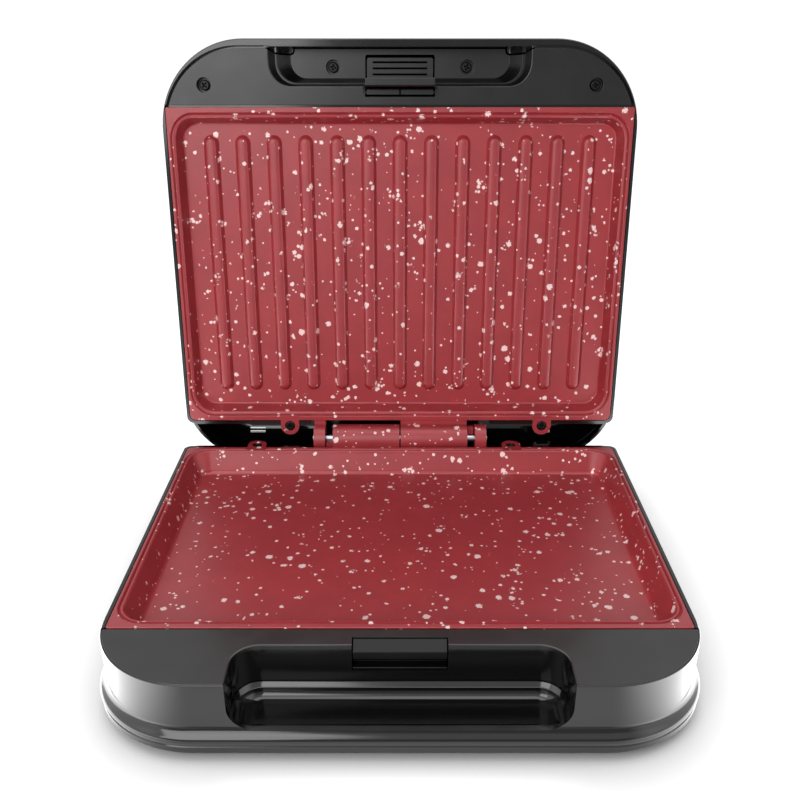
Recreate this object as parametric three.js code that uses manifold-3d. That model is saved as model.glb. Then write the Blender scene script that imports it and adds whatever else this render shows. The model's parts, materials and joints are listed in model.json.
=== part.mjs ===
// A contact grill with a hinged lid, standing open, in millimetres with +Z up and its front towards -Y.
// Every piece is drawn about the hinge axis, with height zero in the plane where the two plates meet.
// The lid is drawn closed and its group turns it open. Distances called front and rear are measured
// forwards from the hinge axis, so a point at distance d lies at y = -d.

import * as THREE from "three";
import { mergeVertices } from "three/addons/utils/BufferGeometryUtils.js";
import Module from "manifold-3d";

const wasm = await Module();
wasm.setup();

// The whole grill
const bodyHalfWidth = 140;
const frontCornerRadius = 48;
const lidCornerRadius = 50;
const openAngle = THREE.MathUtils.degToRad(97.08);
const split = 0.3;
const seam = 0.3;
const wall = 2.4;
const overrun = 2;
const leastRadius = 0.3;
const edgeRound = 0.5;

// Facets on round forms
const bigCorner = 8;
const midCorner = 4;
const smallCorner = 2;
const roundSteps = 16;
const smallSteps = 10;

// Grill plates and the tray pressed into each
const plateSideGap = 1.7;
const plateHalfWidth = bodyHalfWidth - plateSideGap;
const plateRear = 12.3;
const plateDepth = 191.3;
const plateFront = plateRear + plateDepth;
const plateMiddle = plateRear + plateDepth / 2;
const plateFrontRadius = 1.2;
const plateRearRadius = 4;
const flangeThickness = 3;
const flangeUnder = split + flangeThickness;
const rimWidth = 4;
const trayRadius = 14;
const grooveHalfWidth = 0.4;
const grooveDepth = 0.7;
const beadRadius = 1.6;
const lowerTrayDepth = 14;
const upperTrayDepth = 10;
const trayWallRun = 3.8;
const trayFoot = 2.5;
const trayThickness = 3;
const ribCount = 13;
const ribMargin = 22.28;
const outerRibX = plateHalfWidth - rimWidth - ribMargin;
const ribPitch = 2 * outerRibX / (ribCount - 1);
const ribHalfWidth = 4.8;
const ribHeight = 3.8;
const ribRearInset = 18.4;
const ribRear = plateRear + ribRearInset;
const ribFrontInset = 15.6;
const ribFront = plateFront - ribFrontInset;

// Hinge knuckles cast on the plates
const knuckleRadius = 9.5;
const knuckleEnd = 56.2;
const smallKnuckleWidth = 7.4;
const bigKnuckleWidth = 43.4;
const knuckleGap = 0.4;
const webReach = 20;
const pinRadius = 2.5;
const pinOverhang = 1.4;
const stubWidth = 4.4;
const stubRear = 2.5;
const stubFront = 8;
const stubHeight = 4;

// Screw lugs behind the plates
const lugHalfWidth = 6;
const lugCentre = 8.6;
const nearLugReach = 16;
const nearLugX = knuckleEnd + nearLugReach;
const farLugInset = 45.3;
const farLugX = plateHalfWidth - farLugInset;
const lugThickness = 4;
const lugCounterbore = 2.4;

// Screws, in both housings
const screwHeadRadius = 3;
const screwHeadHeight = 2;
const screwShankRadius = 1.6;
const screwLength = 14;
const headShoulder = 0.7;
const headCrown = 0.8;
const pilotDepth = 12.2;
const bossRadius = 4.8;
const headHoleRadius = screwHeadRadius + seam;
const shankHoleRadius = screwShankRadius + seam;

// Base housing, with depths measured down from the plane of the plates
const deckDepth = 40.9;
const baseFront = plateFront + deckDepth;
const housingBottom = 35;
const skirtHeight = 15.5;
const skirtTop = housingBottom - skirtHeight;
const shoulderHeight = 9;
const skirtShoulder = housingBottom - shoulderHeight;
const skirtFaceHeight = 4;
const skirtFace = housingBottom - skirtFaceHeight;
const skirtFlare = 3.8;
const shoulderShare = 0.72;
const skirtFoot = 0.9;
const coveSteps = 4;
const footSteps = 3;
const rearWall = 3.2;
const rearWallRadius = 8;
const rimRear = plateRear - wall;
const rimRearRadius = 5;
const rimInset = 0.4;
const ledgeDepth = flangeUnder + seam;
const ledgeThickness = 2.4;
const ledgeWidth = 2;
const heelRear = -12.5;
const tailLength = 17.5;
const tailRear = heelRear - tailLength;
const tailRadius = 30;
const shelfDepth = skirtTop - edgeRound;
const hingeBayRoom = 2.8;
const hingeBayHalf = knuckleEnd + hingeBayRoom;
const hingeBayDepth = 12.5;
const hingeBayFront = 21;

// Front deck of the base and the finger recess through it
const deckRear = plateFront + 2 * seam;
const deckThickness = 2.6;
const recessHalfWidth = 75.5;
const deckBandDepth = 13.1;
const recessBack = plateFront + deckBandDepth;
const recessRadius = 12.5;
const recessFloorHeight = 7.5;
const recessFloor = housingBottom - recessFloorHeight;
const recessFoot = 4.5;
const recessFloorRadius = 9;
const recessLedgeHeight = 7.5;
const recessWallDepth = recessFloor - recessLedgeHeight;
const recessWallThickness = 2;
const mouthRise = 3.1;
const recessMouthDepth = recessFloor - mouthRise;
const recessMouthRadius = 11;
const recessLedge = 1.4;
const lipStartReach = 7.3;
const recessLipStart = recessBack + lipStartReach;

// Catch in the recess for the latch
const catchHalfWidth = 21.7;
const catchDepth = 7.9;
const catchRear = recessBack - catchDepth;
const rampDepth = 6;
const catchRampRear = recessBack - rampDepth;
const catchNoseInset = 0.5;
const catchNose = recessBack - catchNoseInset;
const catchRampTop = 0.9;
const catchRampFoot = 4.5;
const catchUnder = 8.4;
const catchPocketDepth = 4.9;
const catchPocketRear = recessBack - catchPocketDepth;
const catchPocketFloor = 12.8;
const catchBottom = 14;
const notchRadius = 0.9;

// Bottom cover and feet
const coverTop = housingBottom + seam;
const coverThickness = 2.4;
const coverInset = 1.6;
const footSideInset = 30;
const footX = bodyHalfWidth - footSideInset;
const footRearInset = 6.5;
const footRear = heelRear + footRearInset;
const footFrontInset = 3.6;
const footFront = plateFront - footFrontInset;
const footRadius = 9;
const footHeight = 3;
const footStemRadius = 3;
const coverScrewSideInset = 6.4;
const coverScrewX = bodyHalfWidth - coverScrewSideInset;
const coverScrewRearInset = 12.7;
const coverScrewRear = plateRear + coverScrewRearInset;
const coverScrewFrontInset = 18.6;
const coverScrewFront = plateFront - coverScrewFrontInset;
const coverBossHeight = 15;
const coverBossTop = housingBottom - coverBossHeight;
const ventCount = 6;
const ventLength = 44;
const ventWidth = 3.4;
const ventPitch = 9;
const ventX = 55;
const ventShift = 12;
const ventMiddle = plateMiddle + ventShift;

// Lid shell, with heights measured up from the plane of the plates
const lidFrontInset = 4.2;
const lidFront = baseFront - lidFrontInset;
const lidSide = 22;
const lidShoulder = 12;
const lidDraft = 0.8;
const lidCrown = 26;
const lidCrownRise = 2.8;
const lidTop = lidSide + lidShoulder + lidCrownRise;
const heelRadius = 40;
const lidRimHeight = 6;
const lipHeight = 15;
const heelSlotInnerInset = 47;
const heelSlotInner = bodyHalfWidth - heelSlotInnerInset;
const heelSlotOuterInset = 36.5;
const heelSlotOuter = bodyHalfWidth - heelSlotOuterInset;
const heelSlotRearInset = 7.1;
const heelSlotRear = heelRear + heelSlotRearInset;
const heelSlotFrontInset = 10.4;
const heelSlotFront = heelRear + heelSlotFrontInset;
const heelSlotBaseRise = 3;
const heelSlotBase = lidSide + heelSlotBaseRise;
const rearSlotOuterInset = 39;
const rearSlotOuter = bodyHalfWidth - rearSlotOuterInset;
const rearSlotDrop = 5;
const rearSlotLow = lidSide - rearSlotDrop;
const rearSlotRise = 1;
const rearSlotHigh = lidSide + rearSlotRise;
const stopPadInset = 36;
const stopPadX = bodyHalfWidth - stopPadInset;
const stopPadHalfWidth = 6;
const stopPadNear = 9;
const stopPadFar = 19;

// Frame in the front of the lid, and the finger pocket in it
const frameSideGap = 2;
const frameHalfWidth = bodyHalfWidth - frameSideGap;
const frameFrontInset = 4.5;
const frameFront = lidFront - frameFrontInset;
const frameRadius = 45;
const frameThickness = 2.5;
const pocketOverhang = 1.7;
const pocketBack = recessBack - pocketOverhang;
const pocketSideRun = 11.5;
const pocketFloorHalfWidth = recessHalfWidth - pocketSideRun;
const pocketBackRun = 4.7;
const pocketFloorBack = pocketBack + pocketBackRun;
const pocketFloorRadius = 9;
const pocketDepth = 13;
const pocketSteepHeight = 9.5;
const pocketSteepShare = 0.33;
const pocketFloorThickness = 2;
const tabWidth = 13;
const tabInset = 1.6;
const tabDepth = 3.2;
const tabThickness = 3;
const sideScrewInset = 24.2;
const sideScrewX = frameHalfWidth - sideScrewInset;
const sideScrewReach = 12;
const sideScrewFront = plateFront + sideScrewReach;
const pocketScrewX = 39.4;
const pocketScrewReach = 6.1;
const pocketScrewFront = pocketFloorBack + pocketScrewReach;

// Latch lever
const latchHalfWidth = 19.8;
const buttonSetback = 3.6;
const buttonRear = pocketBack + buttonSetback;
const buttonDepth = 12.8;
const buttonFront = buttonRear + buttonDepth;
const buttonProud = 1.2;
const buttonThickness = 3.2;
const gripGrooves = 3;
const gripPitch = 3.6;
const gripHalfWidth = 16;
const gripWidth = 0.9;
const stemRear = recessBack;
const stemThickness = 2.1;
const stemFront = stemRear + stemThickness;
const hookReach = 2.3;
const hookNose = stemRear - hookReach;
const hookTop = 9;
const hookBottom = 12.2;
const latchPinSetback = 1;
const latchPinFront = stemRear + latchPinSetback;
const latchPinHeight = 18.6;
const latchPinRadius = 1.5;
const latchBarrelRadius = 3;
const latchEarThickness = 2.2;
const buttonSwing = 1.1;
const windowDepth = 4.7;
const windowRear = hookNose - windowDepth;
const windowRib = 1;
const springRadius = 2.55;
const springWire = 0.45;
const springHalfTurns = 9;
const springReach = 4;
const springRoom = 5.2;
const springLegReach = 7.3;
const springLegFront = latchPinFront + springLegReach;
const springKneeReach = 1.7;
const springKneeFront = latchPinFront + springKneeReach;
const springKneeRise = 3.4;
const springKneeHeight = latchPinHeight + springKneeRise;
const springTipReach = 8.3;
const springTipFront = latchPinFront + springTipReach;
const springTipDrop = 7.2;
const springTipHeight = lidTop - springTipDrop;
const springSteps = 5;
const springSides = 4;

// Heating elements, heat shields and controls
const elementRadius = 3.3;
const elementSideInset = 42.3;
const elementHalfWidth = plateHalfWidth - elementSideInset;
const elementRearInset = 37.7;
const elementRear = plateRear + elementRearInset;
const elementFrontInset = 37.6;
const elementFront = plateFront - elementFrontInset;
const elementBend = 26;
const elementSides = 6;
const elementStep = 4;
const elementTailX = 14;
const elementTailLength = 18;
const saddleLength = 12;
const saddleHalfWidth = 6;
const saddleInset = 36;
const saddleX = elementHalfWidth - saddleInset;
const shieldSideInset = 26.3;
const shieldHalfWidth = plateHalfWidth - shieldSideInset;
const shieldRearInset = 21.7;
const shieldRear = plateRear + shieldRearInset;
const shieldFrontInset = 21.6;
const shieldFront = plateFront - shieldFrontInset;
const shieldThickness = 0.8;
const shieldRadius = 12;
const shieldLip = 4;
const thermostatLength = 30;
const thermostatWidth = 14;
const thermostatFront = plateMiddle;
const fuseRadius = 3;
const fuseLength = 14;
const fuseX = 32;
const terminalLength = 34;
const terminalWidth = 14;
const terminalHeight = 8.5;
const terminalSetback = 4.5;
const terminalRear = heelRear + terminalSetback;
const glandX = 60;
const terminalX = glandX;
const glandHeight = 7.5;
const glandDepth = housingBottom - glandHeight;
const glandRadius = 4.2;
const glandFlange = 6.2;
const glandFlangeThickness = 2.2;
const glandBore = 3;
const glandInner = 6;

// Indicator lamps in the lid
const lampX = 12;
const lampInset = 7.6;
const lampFront = plateFront - lampInset;
const lensRadius = 4;
const lensFlange = 5.4;
const lensProud = 1.2;
const sleeveRadius = 6.2;
const sleeveHeight = 13;
const lampRadius = 3.7;
const lampLength = 7;

// Colours and finishes
const finish = (colour, roughness, metalness) =>
  new THREE.MeshStandardMaterial({ color: colour, roughness, metalness });
const housingPlastic = finish("#2a2a2b", 0.3, 0);
const framePlastic = finish("#4a4a4b", 0.42, 0);
const darkPlastic = finish("#161617", 0.5, 0);
const coating = finish("#a8484a", 0.5, 0.1);
const zincSteel = finish("#8d8f92", 0.35, 0.9);
const blackSteel = finish("#2b2b2d", 0.45, 0.8);
const sheathSteel = finish("#77736c", 0.5, 0.8);
const shieldSheet = finish("#b9bcbe", 0.35, 0.85);
const ceramic = finish("#e4dfd2", 0.6, 0);
const footRubber = finish("#1c1c1c", 0.9, 0);
const redLens = finish("#b5201c", 0.2, 0);
const greenLens = finish("#2b8a3c", 0.2, 0);
const lampGlass = finish("#d8c9b0", 0.15, 0);

// Turns a closed geometry into a solid that can be joined and cut.
function solidOf(geometry) {
  const bare = geometry.clone();
  bare.deleteAttribute("normal");
  bare.deleteAttribute("uv");
  const merged = mergeVertices(bare);
  const corners = merged.index.array;
  const kept = [];
  for (let i = 0; i < corners.length; i += 3) {
    const [a, b, c] = [corners[i], corners[i + 1], corners[i + 2]];
    if (a !== b && b !== c && c !== a) kept.push(a, b, c);
  }
  const vertProperties = new Float32Array(merged.attributes.position.array);
  return new wasm.Manifold(new wasm.Mesh({ numProp: 3, vertProperties, triVerts: new Uint32Array(kept) }));
}

// Makes a named mesh of a solid.
function part(name, solid, material) {
  const mesh = solid.getMesh();
  const geometry = new THREE.BufferGeometry();
  geometry.setAttribute("position", new THREE.BufferAttribute(new Float32Array(mesh.vertProperties), 3));
  geometry.setIndex(new THREE.BufferAttribute(new Uint32Array(mesh.triVerts), 1));
  geometry.computeVertexNormals();
  const object = new THREE.Mesh(geometry, material);
  object.name = name;
  return object;
}

// Joins several solids into one.
function join(first, ...others) {
  return others.reduce((whole, piece) => whole.add(piece), first);
}

// Cuts several solids out of one.
function cut(first, ...others) {
  return others.reduce((rest, piece) => rest.subtract(piece), first);
}

// The plan outline of a piece, grown outwards by an offset, counterclockwise from above.
function outline(plan, grow = 0) {
  const { halfWidth, front, rear, frontRadius, rearRadius, frontSteps, rearSteps } = plan;
  const right = halfWidth + grow;
  const low = -front - grow;
  const high = -rear + grow;
  const points = [];
  const corners = [
    { x: right, y: low, radius: frontRadius, steps: frontSteps, turn: -1, inX: -1, inY: 1 },
    { x: right, y: high, radius: rearRadius, steps: rearSteps, turn: 0, inX: -1, inY: -1 },
    { x: -right, y: high, radius: rearRadius, steps: rearSteps, turn: 1, inX: 1, inY: -1 },
    { x: -right, y: low, radius: frontRadius, steps: frontSteps, turn: 2, inX: 1, inY: 1 },
  ];
  for (const corner of corners) {
    const radius = Math.max(corner.radius + grow, leastRadius);
    for (let i = 0; i <= corner.steps; i++) {
      const angle = (corner.turn + i / corner.steps) * Math.PI / 2;
      const x = corner.x + corner.inX * radius + radius * Math.cos(angle);
      const y = corner.y + corner.inY * radius + radius * Math.sin(angle);
      points.push(new THREE.Vector2(x, y));
    }
  }
  return points;
}

// A solid through plan outlines of equally many points, listed from the lowest to the highest.
function loft(rows) {
  const count = rows[0].points.length;
  const positions = rows.flatMap(({ points, z }) => points.flatMap((point) => [point.x, point.y, z]));
  const faces = [];
  for (let row = 0; row + 1 < rows.length; row++) {
    for (let i = 0; i < count; i++) {
      const next = (i + 1) % count;
      const a = row * count + i;
      const b = row * count + next;
      faces.push(a, b, b + count, a, b + count, a + count);
    }
  }
  const last = (rows.length - 1) * count;
  for (const [a, b, c] of THREE.ShapeUtils.triangulateShape(rows[0].points, [])) faces.push(a, c, b);
  for (const [a, b, c] of THREE.ShapeUtils.triangulateShape(rows[rows.length - 1].points, [])) {
    faces.push(last + a, last + b, last + c);
  }
  const geometry = new THREE.BufferGeometry();
  geometry.setAttribute("position", new THREE.Float32BufferAttribute(positions, 3));
  geometry.setIndex(faces);
  return solidOf(geometry);
}

// A loft of one plan whose outline grows or shrinks from row to row: pairs of height and growth.
function swell(plan, rows) {
  return loft(rows.map(([z, grow]) => ({ points: outline(plan, grow), z })));
}

// A straight prism of one plan.
function slab(plan, low, high, grow = 0) {
  return swell(plan, [[low, grow], [high, grow]]);
}

// A box between two x values, two distances forwards and two heights.
function block(x0, x1, rear, front, low, high) {
  const geometry = new THREE.BoxGeometry(x1 - x0, front - rear, high - low);
  geometry.translate((x0 + x1) / 2, -(front + rear) / 2, (low + high) / 2);
  return solidOf(geometry);
}

// A side profile of [forwards, height] points, run across from one x to another.
function beam(profile, x0, x1) {
  const shape = new THREE.Shape(profile.map(([forwards, height]) => new THREE.Vector2(-forwards, height)));
  const geometry = new THREE.ExtrudeGeometry(shape, { depth: x1 - x0, bevelEnabled: false, steps: 1 });
  const across = new THREE.Vector3(1, 0, 0);
  const back = new THREE.Vector3(0, 1, 0);
  const up = new THREE.Vector3(0, 0, 1);
  geometry.applyMatrix4(new THREE.Matrix4().makeBasis(back, up, across));
  geometry.translate(x0, 0, 0);
  return solidOf(geometry);
}

// An outline in the X and Z plane, run from one distance forwards to another.
function tunnel(points, rear, front) {
  const shape = new THREE.Shape(points.map(([x, z]) => new THREE.Vector2(x, z)));
  const geometry = new THREE.ExtrudeGeometry(shape, { depth: front - rear, bevelEnabled: false, steps: 1 });
  geometry.rotateX(Math.PI / 2);
  geometry.translate(0, -rear, 0);
  return solidOf(geometry);
}

// A turned piece: pairs of radius and height, closed on the axis, standing at x and a distance forwards.
function turned(profile, x, forwards, steps = smallSteps) {
  const points = profile.map(([radius, height]) => new THREE.Vector2(radius, height));
  const geometry = new THREE.LatheGeometry(points, steps);
  geometry.rotateX(Math.PI / 2);
  geometry.translate(x, -forwards, 0);
  return solidOf(geometry);
}

// An upright cylinder.
function post(radius, low, high, x, forwards, steps = smallSteps) {
  return turned([[0, low], [radius, low], [radius, high], [0, high]], x, forwards, steps);
}

// A cylinder along the X axis.
function rod(radius, x0, x1, forwards, height, steps = roundSteps) {
  const geometry = new THREE.CylinderGeometry(radius, radius, x1 - x0, steps);
  geometry.rotateZ(Math.PI / 2);
  geometry.translate((x0 + x1) / 2, -forwards, height);
  return solidOf(geometry);
}

// A closed tube along a curve.
function tube(curve, radius, sides, steps) {
  const section = new THREE.Shape();
  for (let i = 0; i < sides; i++) {
    const angle = 2 * Math.PI * i / sides;
    const x = radius * Math.cos(angle);
    const y = radius * Math.sin(angle);
    if (i === 0) section.moveTo(x, y);
    else section.lineTo(x, y);
  }
  section.closePath();
  return solidOf(new THREE.ExtrudeGeometry(section, { steps, bevelEnabled: false, extrudePath: curve }));
}

// Keeps what lies in front of a distance from the hinge axis.
function ahead(solid, rear) {
  const reach = 2 * bodyHalfWidth;
  return solid.intersect(block(-reach, reach, rear, 2 * reach, -reach, reach));
}

// Mirrors a drawing made for the base, below the plane, to the lid, above it.
const side = { base: -1, lid: 1 };
const trayDepth = { base: lowerTrayDepth, lid: upperTrayDepth };

// Plans seen from above
const bodyPlan = {
  halfWidth: bodyHalfWidth, front: baseFront, rear: rearWall,
  frontRadius: frontCornerRadius, rearRadius: rearWallRadius,
  frontSteps: bigCorner, rearSteps: smallCorner,
};
const tailPlan = { ...bodyPlan, rear: tailRear, rearRadius: tailRadius, rearSteps: midCorner };
const baseRimPlan = { ...bodyPlan, rear: rimRear, rearRadius: rimRearRadius };
const lidPlan = {
  ...bodyPlan, front: lidFront, rear: heelRear,
  frontRadius: lidCornerRadius, rearRadius: heelRadius, rearSteps: bigCorner,
};
const lidRimPlan = { ...lidPlan, rear: rimRear, rearRadius: rimRearRadius, rearSteps: smallCorner };
const platePlan = {
  halfWidth: plateHalfWidth, front: plateFront, rear: plateRear,
  frontRadius: plateFrontRadius, rearRadius: plateRearRadius,
  frontSteps: smallCorner, rearSteps: smallCorner,
};
const trayPlan = {
  halfWidth: plateHalfWidth - rimWidth, front: plateFront - rimWidth, rear: plateRear + rimWidth,
  frontRadius: trayRadius, rearRadius: trayRadius,
  frontSteps: midCorner, rearSteps: midCorner,
};
const recessPlan = {
  halfWidth: recessHalfWidth, front: baseFront + frontCornerRadius, rear: recessBack,
  frontRadius: recessRadius, rearRadius: recessRadius,
  frontSteps: 1, rearSteps: midCorner,
};
const framePlan = {
  halfWidth: frameHalfWidth, front: frameFront, rear: plateRear,
  frontRadius: frameRadius, rearRadius: leastRadius,
  frontSteps: bigCorner, rearSteps: 1,
};

// Positions of the knuckles along the hinge, shared by plates, pin and bay
const smallKnuckle = [knuckleEnd - smallKnuckleWidth, knuckleEnd];
const bigKnuckle = [knuckleGap, knuckleGap + bigKnuckleWidth];
const mirrored = ([x0, x1]) => [-x1, -x0];
const lowerKnuckles = [mirrored(bigKnuckle), smallKnuckle];
const upperKnuckles = [bigKnuckle, mirrored(smallKnuckle)];
const lowerLugs = [nearLugX, -farLugX];
const upperLugs = [-nearLugX, farLugX];

// The rows of a loft drawn downwards for the base or upwards for the lid, put in rising order.
function rising(which, rows) {
  const signed = rows.map(([distance, grow]) => [side[which] * distance, grow]);
  return signed.sort((first, second) => first[0] - second[0]);
}

// One grill plate with its rim, tray, bead, lugs, knuckles and element saddles.
function plate(which, knuckles, lugs) {
  const sign = side[which];
  const levels = (a, b) => [Math.min(sign * a, sign * b), Math.max(sign * a, sign * b)];
  const flange = swell(platePlan, rising(which, [
    [split, -edgeRound], [split + edgeRound, 0], [flangeUnder, 0],
  ]));
  const floorTop = split + trayDepth[which];
  const wallTop = split + beadRadius;
  const beadInner = -grooveHalfWidth - beadRadius;
  const floorEdge = beadInner - trayWallRun - trayFoot;
  const hollowRows = [[split - overrun, -grooveHalfWidth]];
  for (let i = 0; i <= coveSteps; i++) {
    const angle = Math.PI / 2 * i / coveSteps;
    const outwards = beadRadius * (1 - Math.sin(angle));
    hollowRows.push([wallTop - beadRadius * Math.cos(angle), beadInner + outwards]);
  }
  for (let i = 0; i <= footSteps; i++) {
    const angle = Math.PI / 2 * i / footSteps;
    const inwards = trayFoot * (1 - Math.cos(angle));
    hollowRows.push([floorTop - trayFoot * (1 - Math.sin(angle)), beadInner - trayWallRun - inwards]);
  }
  const hollow = swell(trayPlan, rising(which, hollowRows));
  const pan = swell(trayPlan, rising(which, [
    [flangeUnder - edgeRound, beadInner + trayThickness],
    [floorTop + trayThickness - trayFoot, beadInner - trayWallRun + trayThickness],
    [floorTop + trayThickness, floorEdge + trayThickness],
  ]));
  const grooveLevels = levels(split - overrun, split + grooveDepth);
  const groove = slab(trayPlan, ...grooveLevels, grooveHalfWidth)
    .subtract(slab(trayPlan, ...levels(split - 2 * overrun, split + overrun), -grooveHalfWidth));
  let body = cut(flange.add(pan), hollow, groove);
  for (const [x0, x1] of knuckles) {
    const webLevels = levels(3 * split, knuckleRadius);
    const web = block(x0, x1, 0, webReach, ...webLevels);
    body = join(body, web.subtract(hollow), rod(knuckleRadius, x0, x1, 0, 0));
  }
  const stubEnd = Math.sign(knuckles[0][0] + knuckles[0][1]) * bigKnuckle[1];
  const stubX = [stubEnd, stubEnd + Math.sign(stubEnd) * stubWidth].sort((a, b) => a - b);
  body = body.add(block(...stubX, stubRear, stubFront, ...levels(0, stubHeight)));
  for (const x of lugs) {
    const lugLevels = levels(split, split + lugThickness);
    const lug = post(lugHalfWidth, ...lugLevels, x, lugCentre, roundSteps)
      .add(block(x - lugHalfWidth, x + lugHalfWidth, lugCentre, plateRear + rimWidth, ...lugLevels));
    const headHole = post(headHoleRadius, ...levels(split - overrun, split + lugCounterbore), x, lugCentre);
    const shankHole = post(shankHoleRadius, ...levels(split, split + lugThickness + overrun), x, lugCentre);
    body = cut(body.add(lug), headHole, shankHole);
  }
  const bore = rod(pinRadius + seam, -knuckleEnd - overrun, knuckleEnd + overrun, 0, 0);
  const underside = floorTop + trayThickness;
  const channelRadius = elementRadius + seam;
  const saddleLevels = levels(underside - edgeRound, underside + 2 * channelRadius);
  for (const x of [-saddleX, saddleX]) {
    const [x0, x1] = [x - saddleLength / 2, x + saddleLength / 2];
    for (const forwards of [elementRear, elementFront]) {
      const [rear, front] = [forwards - saddleHalfWidth, forwards + saddleHalfWidth];
      const saddle = block(x0, x1, rear, front, ...saddleLevels);
      const height = sign * (underside + channelRadius);
      const channel = rod(channelRadius, x0 - overrun, x1 + overrun, forwards, height, smallSteps);
      body = body.add(saddle.subtract(channel));
    }
  }
  return body.subtract(bore);
}

// Half-round ribs with round ends, standing on the floor of the upper tray.
function ribs() {
  const length = ribFront - ribRear;
  const straight = length / 2 - ribHalfWidth;
  const profile = [];
  for (let i = 0; i <= 2 * footSteps; i++) {
    const angle = Math.PI * i / (2 * footSteps) - Math.PI / 2;
    const end = i <= footSteps ? -straight : straight;
    if (i === footSteps) profile.push(new THREE.Vector2(ribHalfWidth, -straight));
    profile.push(new THREE.Vector2(ribHalfWidth * Math.cos(angle), end + ribHalfWidth * Math.sin(angle)));
  }
  profile[0].x = 0;
  profile[profile.length - 1].x = 0;
  const seen = profile.filter((point, i) => i === 0 || point.distanceTo(profile[i - 1]) > 0);
  const rib = new THREE.LatheGeometry(seen, smallSteps);
  rib.scale(1, 1, ribHeight / ribHalfWidth);
  rib.translate(0, -(ribFront + ribRear) / 2, split + upperTrayDepth);
  const all = [];
  for (let i = 0; i < ribCount; i++) {
    const x = (i - (ribCount - 1) / 2) * ribPitch;
    all.push(solidOf(rib.clone().translate(x, 0, 0)));
  }
  const above = block(-bodyHalfWidth, bodyHalfWidth, 0, lidFront, 0, split + upperTrayDepth + edgeRound);
  return all.map((whole) => whole.intersect(above));
}

// A loop-shaped tubular heating element under a plate, with its two cold tails at the rear.
function element(which) {
  const height = side[which] * (split + trayDepth[which] + trayThickness + elementRadius + seam);
  const tail = elementRear - elementTailLength;
  const inner = elementTailX + elementRadius;
  const turnRear = elementRear - elementRadius;
  const wide = elementHalfWidth - elementBend;
  const bendRear = elementRear + elementBend;
  const bendFront = elementFront - elementBend;
  const half = [
    [elementTailX, tail],
    [elementTailX, turnRear], [elementTailX, elementRear], [inner, elementRear],
    [wide, elementRear], [elementHalfWidth, elementRear], [elementHalfWidth, bendRear],
    [elementHalfWidth, bendFront], [elementHalfWidth, elementFront], [wide, elementFront],
  ];
  const otherHalf = half.map(([x, forwards]) => [-x, forwards]).reverse();
  const points = [...half, ...otherHalf].map(([x, forwards]) => new THREE.Vector3(x, -forwards, height));
  const path = new THREE.CurvePath();
  for (let i = 0; i + 1 < points.length; i += 3) {
    path.add(new THREE.LineCurve3(points[i], points[i + 1]));
    const bend = points.slice(i + 1, i + 4);
    if (bend.length === 3) path.add(new THREE.QuadraticBezierCurve3(...bend));
  }
  const steps = Math.round(path.getLength() / (elementStep * elementRadius));
  return tube(path, elementRadius, elementSides, steps);
}

// A shallow sheet tray behind the element, with its lip turned away from the plate.
function shield(which) {
  const near = split + trayDepth[which] + trayThickness + 2 * (elementRadius + seam) + seam;
  const plan = {
    halfWidth: shieldHalfWidth, front: shieldFront, rear: shieldRear,
    frontRadius: shieldRadius, rearRadius: shieldRadius,
    frontSteps: smallCorner, rearSteps: smallCorner,
  };
  const tray = swell(plan, rising(which, [[near, 0], [near + shieldThickness + shieldLip, 0]]));
  const inside = swell(plan, rising(which, [
    [near + shieldThickness, -shieldThickness], [near + shieldLip + overrun * 2, -shieldThickness],
  ]));
  return tray.subtract(inside);
}

// A round-headed screw whose head looks along the given sign of Z, seated at a height.
function screw(seat, sign, x, forwards) {
  const profile = [
    [0, seat - sign * screwLength],
    [screwShankRadius, seat - sign * screwLength],
    [screwShankRadius, seat],
    [screwHeadRadius, seat],
    [screwHeadRadius, seat + sign * screwHeadHeight * headShoulder],
    [screwHeadRadius * headCrown, seat + sign * screwHeadHeight],
    [0, seat + sign * screwHeadHeight],
  ];
  return turned(sign > 0 ? profile : profile.reverse(), x, forwards);
}

// Outer growth of the base wall at each depth, from the deck down to the bottom of the skirt.
function skirtRows() {
  const rows = [];
  for (let i = 0; i <= coveSteps; i++) {
    const angle = Math.PI / 2 * i / coveSteps;
    const grow = skirtFlare * shoulderShare * (1 - Math.cos(angle));
    rows.push([skirtTop + (skirtShoulder - skirtTop) * Math.sin(angle), grow]);
  }
  rows.push([skirtFace, skirtFlare]);
  rows.push([(skirtFace + housingBottom) / 2, skirtFlare - skirtFoot / 3]);
  rows.push([housingBottom, skirtFlare - skirtFoot]);
  return rows;
}

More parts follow.
